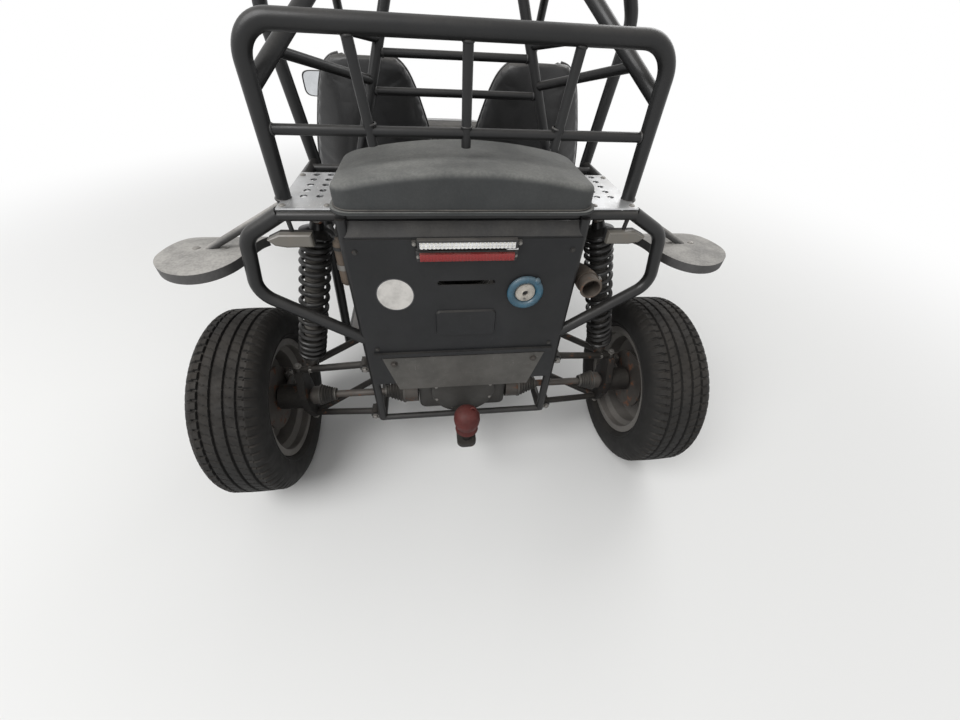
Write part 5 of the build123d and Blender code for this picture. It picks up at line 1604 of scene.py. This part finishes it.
# Stage, in metres
FLOOR_REACH = 30.0
WHITE_FROM, WHITE_TO = 1.7, 4.2  # the floor turns white between these distances
LAMP_SIZE = 4.0
CAMERA_PLACE = (-0.0789, -1.9046, 1.2736)
CAMERA_RIGHT = (0.99255, -0.11332, 0.04485)
CAMERA_DOWN = (-0.04614, -0.68998, -0.72236)
CAMERA_AHEAD = (0.11281, 0.7149, -0.69006)


def background_rays(tree):
    """1 for the rays that see the plain white background, and 0 for those that light the object."""
    rays = tree.node("ShaderNodeLightPath").outputs
    reflected = tree.maths("MAXIMUM", rays["Is Glossy Ray"], rays["Is Transmission Ray"])
    return tree.maths("MAXIMUM", rays["Is Camera Ray"], reflected)


def make_floor(look):
    """Pale floor that keeps the shadow and runs out to white."""
    mesh = bpy.data.meshes.new("floor")
    corners = [(x * FLOOR_REACH, y * FLOOR_REACH, 0) for x, y in ((-1, -1), (1, -1), (1, 1), (-1, 1))]
    mesh.from_pydata(corners, [], [(0, 1, 2, 3)])
    material, tree, shader = new_material("Pale floor")
    shader.inputs["Base Color"].default_value = (*look.floor, 1)
    shader.inputs["Roughness"].default_value = 0.9
    distance = tree.node("ShaderNodeVectorMath", {"operation": "LENGTH"})
    tree.feed(distance.inputs[0], tree.node("ShaderNodeTexCoord").outputs["Object"])
    far = tree.steps(distance.outputs["Value"], WHITE_FROM, WHITE_TO)
    glow = tree.node("ShaderNodeEmission", Strength=1.0)
    mix = tree.tree.nodes.new("ShaderNodeMixShader")
    tree.feed(mix.inputs[0], tree.maths("MULTIPLY", far, background_rays(tree)))
    tree.feed(mix.inputs[1], shader.outputs[0])
    tree.feed(mix.inputs[2], glow.outputs[0])
    tree.feed(tree.tree.nodes["Material Output"].inputs["Surface"], mix.outputs[0])
    mesh.materials.append(material)
    floor = placed("floor", mesh)


def make_world(look):
    """White background for what is seen, and a soft light for the rest."""
    world = bpy.data.worlds.new("Studio")
    world.use_nodes = True
    bpy.context.scene.world = world
    tree = Tree(world.node_tree)
    background = world.node_tree.nodes["Background"]
    background.inputs["Color"].default_value = (1, 1, 1, 1)
    tree.feed(background.inputs["Strength"], tree.mix(background_rays(tree), look.sky, 1.0, "FLOAT"))


def add_lamp(name, place, target, power):
    """A large round lamp that faces a target."""
    lamp = bpy.data.lights.new(name, "AREA")
    lamp.shape, lamp.size, lamp.energy = "DISK", LAMP_SIZE, power
    obj = placed(name, lamp)
    obj.location = place
    obj.rotation_euler = (Vector(target) - Vector(place)).to_track_quat("-Z", "Y").to_euler()


def add_camera(look):
    """The camera at the photograph's viewpoint."""
    camera = bpy.data.cameras.new("Photo view")
    camera.sensor_width, camera.lens = 36.0, look.lens
    camera.clip_start, camera.clip_end = 0.05, 80.0
    turn = Matrix([(CAMERA_RIGHT[i], -CAMERA_DOWN[i], -CAMERA_AHEAD[i]) for i in range(3)])
    obj = placed("Photo view", camera)
    obj.matrix_world = Matrix.Translation(CAMERA_PLACE) @ turn.to_4x4()
    bpy.context.scene.camera = obj


# Settings
def colour_setting(label, text, value):
    """A colour that a user may change."""
    return FloatVectorProperty(name=label, description=text, default=value, subtype="COLOR", min=0, max=1)


def length_setting(label, text, value):
    """A length that a user may change."""
    return FloatProperty(name=label, description=text, default=value, min=0, subtype="DISTANCE",
                         unit="LENGTH")


def share_setting(label, text, value):
    """A share from 0 to 1 that a user may change."""
    return FloatProperty(name=label, description=text, default=value, min=0, max=1, subtype="FACTOR")


class BuggyPaint(bpy.types.PropertyGroup):
    """Paint of the tube frame."""

    tube: colour_setting("Tube paint", "Colour of the frame's paint", (0.0075, 0.0078, 0.0085))
    dust: share_setting("Dust", "How much dust lies on the frame", 0.09)


class BuggyTyres(bpy.types.PropertyGroup):
    """Sizes of the tread and the rubber's colour."""

    groove_width: length_setting("Groove width", "Width of the grooves round the tread", 0.0078)
    groove_depth: length_setting("Groove depth", "Depth of the grooves", 0.0065)
    pitches: IntProperty(name="Pitches", description="Tread blocks round the tyre", default=72, min=20,
                         max=120)
    colour: colour_setting("Rubber", "Colour of the clean rubber", (0.011, 0.0106, 0.0102))


class BuggySeats(bpy.types.PropertyGroup):
    """The seats' cover and its sewing."""

    colour: colour_setting("Vinyl", "Colour of the seat cover", (0.02, 0.0205, 0.022))
    seam_depth: length_setting("Seam depth", "Depth of the sewn channels", 0.0045)
    pleat: length_setting("Pleat", "Distance between the channels across the seat", 0.052)
    swell: length_setting("Swell", "How far the padding may swell", 0.012)
    start: length_setting("Start", "How much smaller the padding is before it swells", 0.006)
    voxel: length_setting("Voxel", "Size of the mesh under the cover", 0.0085)
    pressure: FloatProperty(name="Pressure", description="How hard the padding pushes", default=4.0, min=0)
    frames: IntProperty(name="Frames", description="Steps that the padding swells for", default=20, min=1,
                        max=60)
    fill: share_setting("Fill", "Firmness of the padding", 0.85)


class BuggyTail(bpy.types.PropertyGroup):
    """Colours of the lamps, the ring and the ball's cover."""

    red: colour_setting("Red lens", "Colour of the red lamp", (0.30, 0.004, 0.006))
    ring: colour_setting("Ring", "Colour of the round fitting's rim", (0.012, 0.085, 0.14))
    indicator: colour_setting("Indicator lens", "Colour of the dusty lens", (0.21, 0.195, 0.17))
    cap: colour_setting("Ball cover", "Colour of the ball's cover", (0.088, 0.013, 0.011))


class BuggyStage(bpy.types.PropertyGroup):
    """Floor, light and lens."""

    floor: colour_setting("Floor", "Colour of the floor", (0.80, 0.80, 0.79))
    sky: FloatProperty(name="Sky", description="Strength of the soft light from all round", default=0.5,
                       min=0)
    key: FloatProperty(name="Key lamp", description="Power of the large lamp", default=225.0, min=0,
                       unit="POWER")
    fill: FloatProperty(name="Fill lamp", description="Power of the lamp behind", default=105.0, min=0,
                        unit="POWER")
    lens: FloatProperty(name="Lens", description="Focal length", default=13.854, min=1,
                        subtype="DISTANCE_CAMERA")


# Operators
class BUGGY_OT_dress(bpy.types.Operator):
    """Give every carried-over part its finish"""

    bl_idname = "buggy.dress"
    bl_label = "Paint and finishes"

    def execute(self, context):
        dress_frame()
        dress_panels()
        return {"FINISHED"}


class BUGGY_OT_tyres(bpy.types.Operator):
    """Make the four tyres with their tread"""

    bl_idname = "buggy.tyres"
    bl_label = "Tyres"

    def execute(self, context):
        for axle in ("rear_", "front_"):
            for name, side in SIDES:
                make_tyre(axle + name, side, context.scene.buggy_tyres)
        return {"FINISHED"}


class BUGGY_OT_wheel_fittings(bpy.types.Operator):
    """Add nuts, caps, valves, bellows and brake calipers"""

    bl_idname = "buggy.wheel_fittings"
    bl_label = "Wheel fittings and brakes"

    def execute(self, context):
        for name, side in SIDES:
            for axle in ("rear_", "front_"):
                make_wheel_fittings(axle + name, side, context.scene.buggy_tyres)
            make_drive_fittings(name, side)
            for corner, body, hub, disc_x in CALIPERS:
                rides_on = body if body == "root" else body + name
                make_caliper(corner + name, rides_on, hub, disc_x, side)
        return {"FINISHED"}


class BUGGY_OT_coilovers(bpy.types.Operator):
    """Make the four springs with their dampers"""

    bl_idname = "buggy.coilovers"
    bl_label = "Springs and dampers"

    def execute(self, context):
        for name, side in SIDES:
            for row in COILOVERS:
                make_coilover(name, side, *row)
        return {"FINISHED"}


class BUGGY_OT_seats(bpy.types.Operator):
    """Make the two padded bucket seats"""

    bl_idname = "buggy.seats"
    bl_label = "Seats"

    def execute(self, context):
        make_seats(context.scene.buggy_seats)
        return {"FINISHED"}


class BUGGY_OT_frame_fittings(bpy.types.Operator):
    """Add welds, brackets and pivot bolts"""

    bl_idname = "buggy.frame_fittings"
    bl_label = "Frame fittings"

    def execute(self, context):
        make_pivots()
        make_welds()
        return {"FINISHED"}


class BUGGY_OT_tail(bpy.types.Operator):
    """Make the lamps and fittings of the tail"""

    bl_idname = "buggy.tail"
    bl_label = "Tail"

    def execute(self, context):
        look = context.scene.buggy_tail
        make_light_strip()
        make_red_lamp(look)
        make_tail_ring(look)
        make_top_strip()
        make_blank_disc()
        make_tail_screws()
        make_indicators(look)
        make_tow_cover(look)
        return {"FINISHED"}


class BUGGY_OT_deck(bpy.types.Operator):
    """Add the trim and screws of the cover, the deck and the mudguards"""

    bl_idname = "buggy.deck"
    bl_label = "Cover, deck and mudguards"

    def execute(self, context):
        make_cover_trim()
        make_deck_screws()
        make_mudguard_fittings()
        return {"FINISHED"}


class BUGGY_OT_engine(bpy.types.Operator):
    """Add the engine's covers, the air box, the canister and the exhaust's fittings"""

    bl_idname = "buggy.engine"
    bl_label = "Engine bay"

    def execute(self, context):
        make_engine_fittings()
        make_air_box()
        make_exhaust_fittings()
        make_canister()
        return {"FINISHED"}


class BUGGY_OT_cabin(bpy.types.Operator):
    """Add dials, switches, pads and mirrors"""

    bl_idname = "buggy.cabin"
    bl_label = "Cabin"

    def execute(self, context):
        make_dash_fittings()
        make_steering_fittings()
        make_pedal_pads()
        make_mirrors()
        return {"FINISHED"}


class BUGGY_OT_nose(bpy.types.Operator):
    """Make the hood and the headlamps"""

    bl_idname = "buggy.nose"
    bl_label = "Nose"

    def execute(self, context):
        make_hood()
        make_headlamps()
        return {"FINISHED"}


class BUGGY_OT_stage(bpy.types.Operator):
    """Set the floor, the light and the camera"""

    bl_idname = "buggy.stage"
    bl_label = "Stage"

    def execute(self, context):
        look = context.scene.buggy_stage
        context.scene.view_settings.view_transform = "Standard"
        make_floor(look)
        make_world(look)
        add_lamp("Key lamp", (-3.0, -3.2, 4.6), (0, -0.4, 0.5), look.key)
        add_lamp("Fill lamp", (3.6, 2.4, 4.0), (0, 0, 0.6), look.fill)
        add_camera(look)
        return {"FINISHED"}


class BUGGY_PT_panel(bpy.types.Panel):
    """The buggy's pieces and their settings."""

    bl_idname = "BUGGY_PT_panel"
    bl_label = "Dune Buggy"
    bl_space_type = "VIEW_3D"
    bl_region_type = "UI"
    bl_category = "Buggy"

    def draw(self, context):
        for operator in OPERATORS:
            self.layout.operator(operator.bl_idname)
        for name, group in GROUPS.items():
            box = self.layout.box()
            for prop in group.__annotations__:
                box.prop(getattr(context.scene, name), prop)


GROUPS = {
    "buggy_paint": BuggyPaint,
    "buggy_tyres": BuggyTyres,
    "buggy_seats": BuggySeats,
    "buggy_tail": BuggyTail,
    "buggy_stage": BuggyStage,
}
OPERATORS = [
    BUGGY_OT_stage, BUGGY_OT_dress, BUGGY_OT_tyres, BUGGY_OT_wheel_fittings, BUGGY_OT_coilovers,
    BUGGY_OT_seats, BUGGY_OT_frame_fittings, BUGGY_OT_tail, BUGGY_OT_deck, BUGGY_OT_engine, BUGGY_OT_cabin,
    BUGGY_OT_nose,
]


def register():
    """Make the settings, the operators and the panel known."""
    for kind in (*GROUPS.values(), *OPERATORS, BUGGY_PT_panel):
        bpy.utils.register_class(kind)
    for name, group in GROUPS.items():
        setattr(bpy.types.Scene, name, PointerProperty(type=group))


def unregister():
    """Take them away again."""
    for name in GROUPS:
        delattr(bpy.types.Scene, name)
    for kind in (BUGGY_PT_panel, *reversed(OPERATORS), *reversed(GROUPS.values())):
        bpy.utils.unregister_class(kind)


def main():
    """Make the whole buggy in order."""
    register()
    for operator in OPERATORS:
        getattr(bpy.ops.buggy, operator.bl_idname.split(".")[1])()


if __name__ == "__main__":
    main()
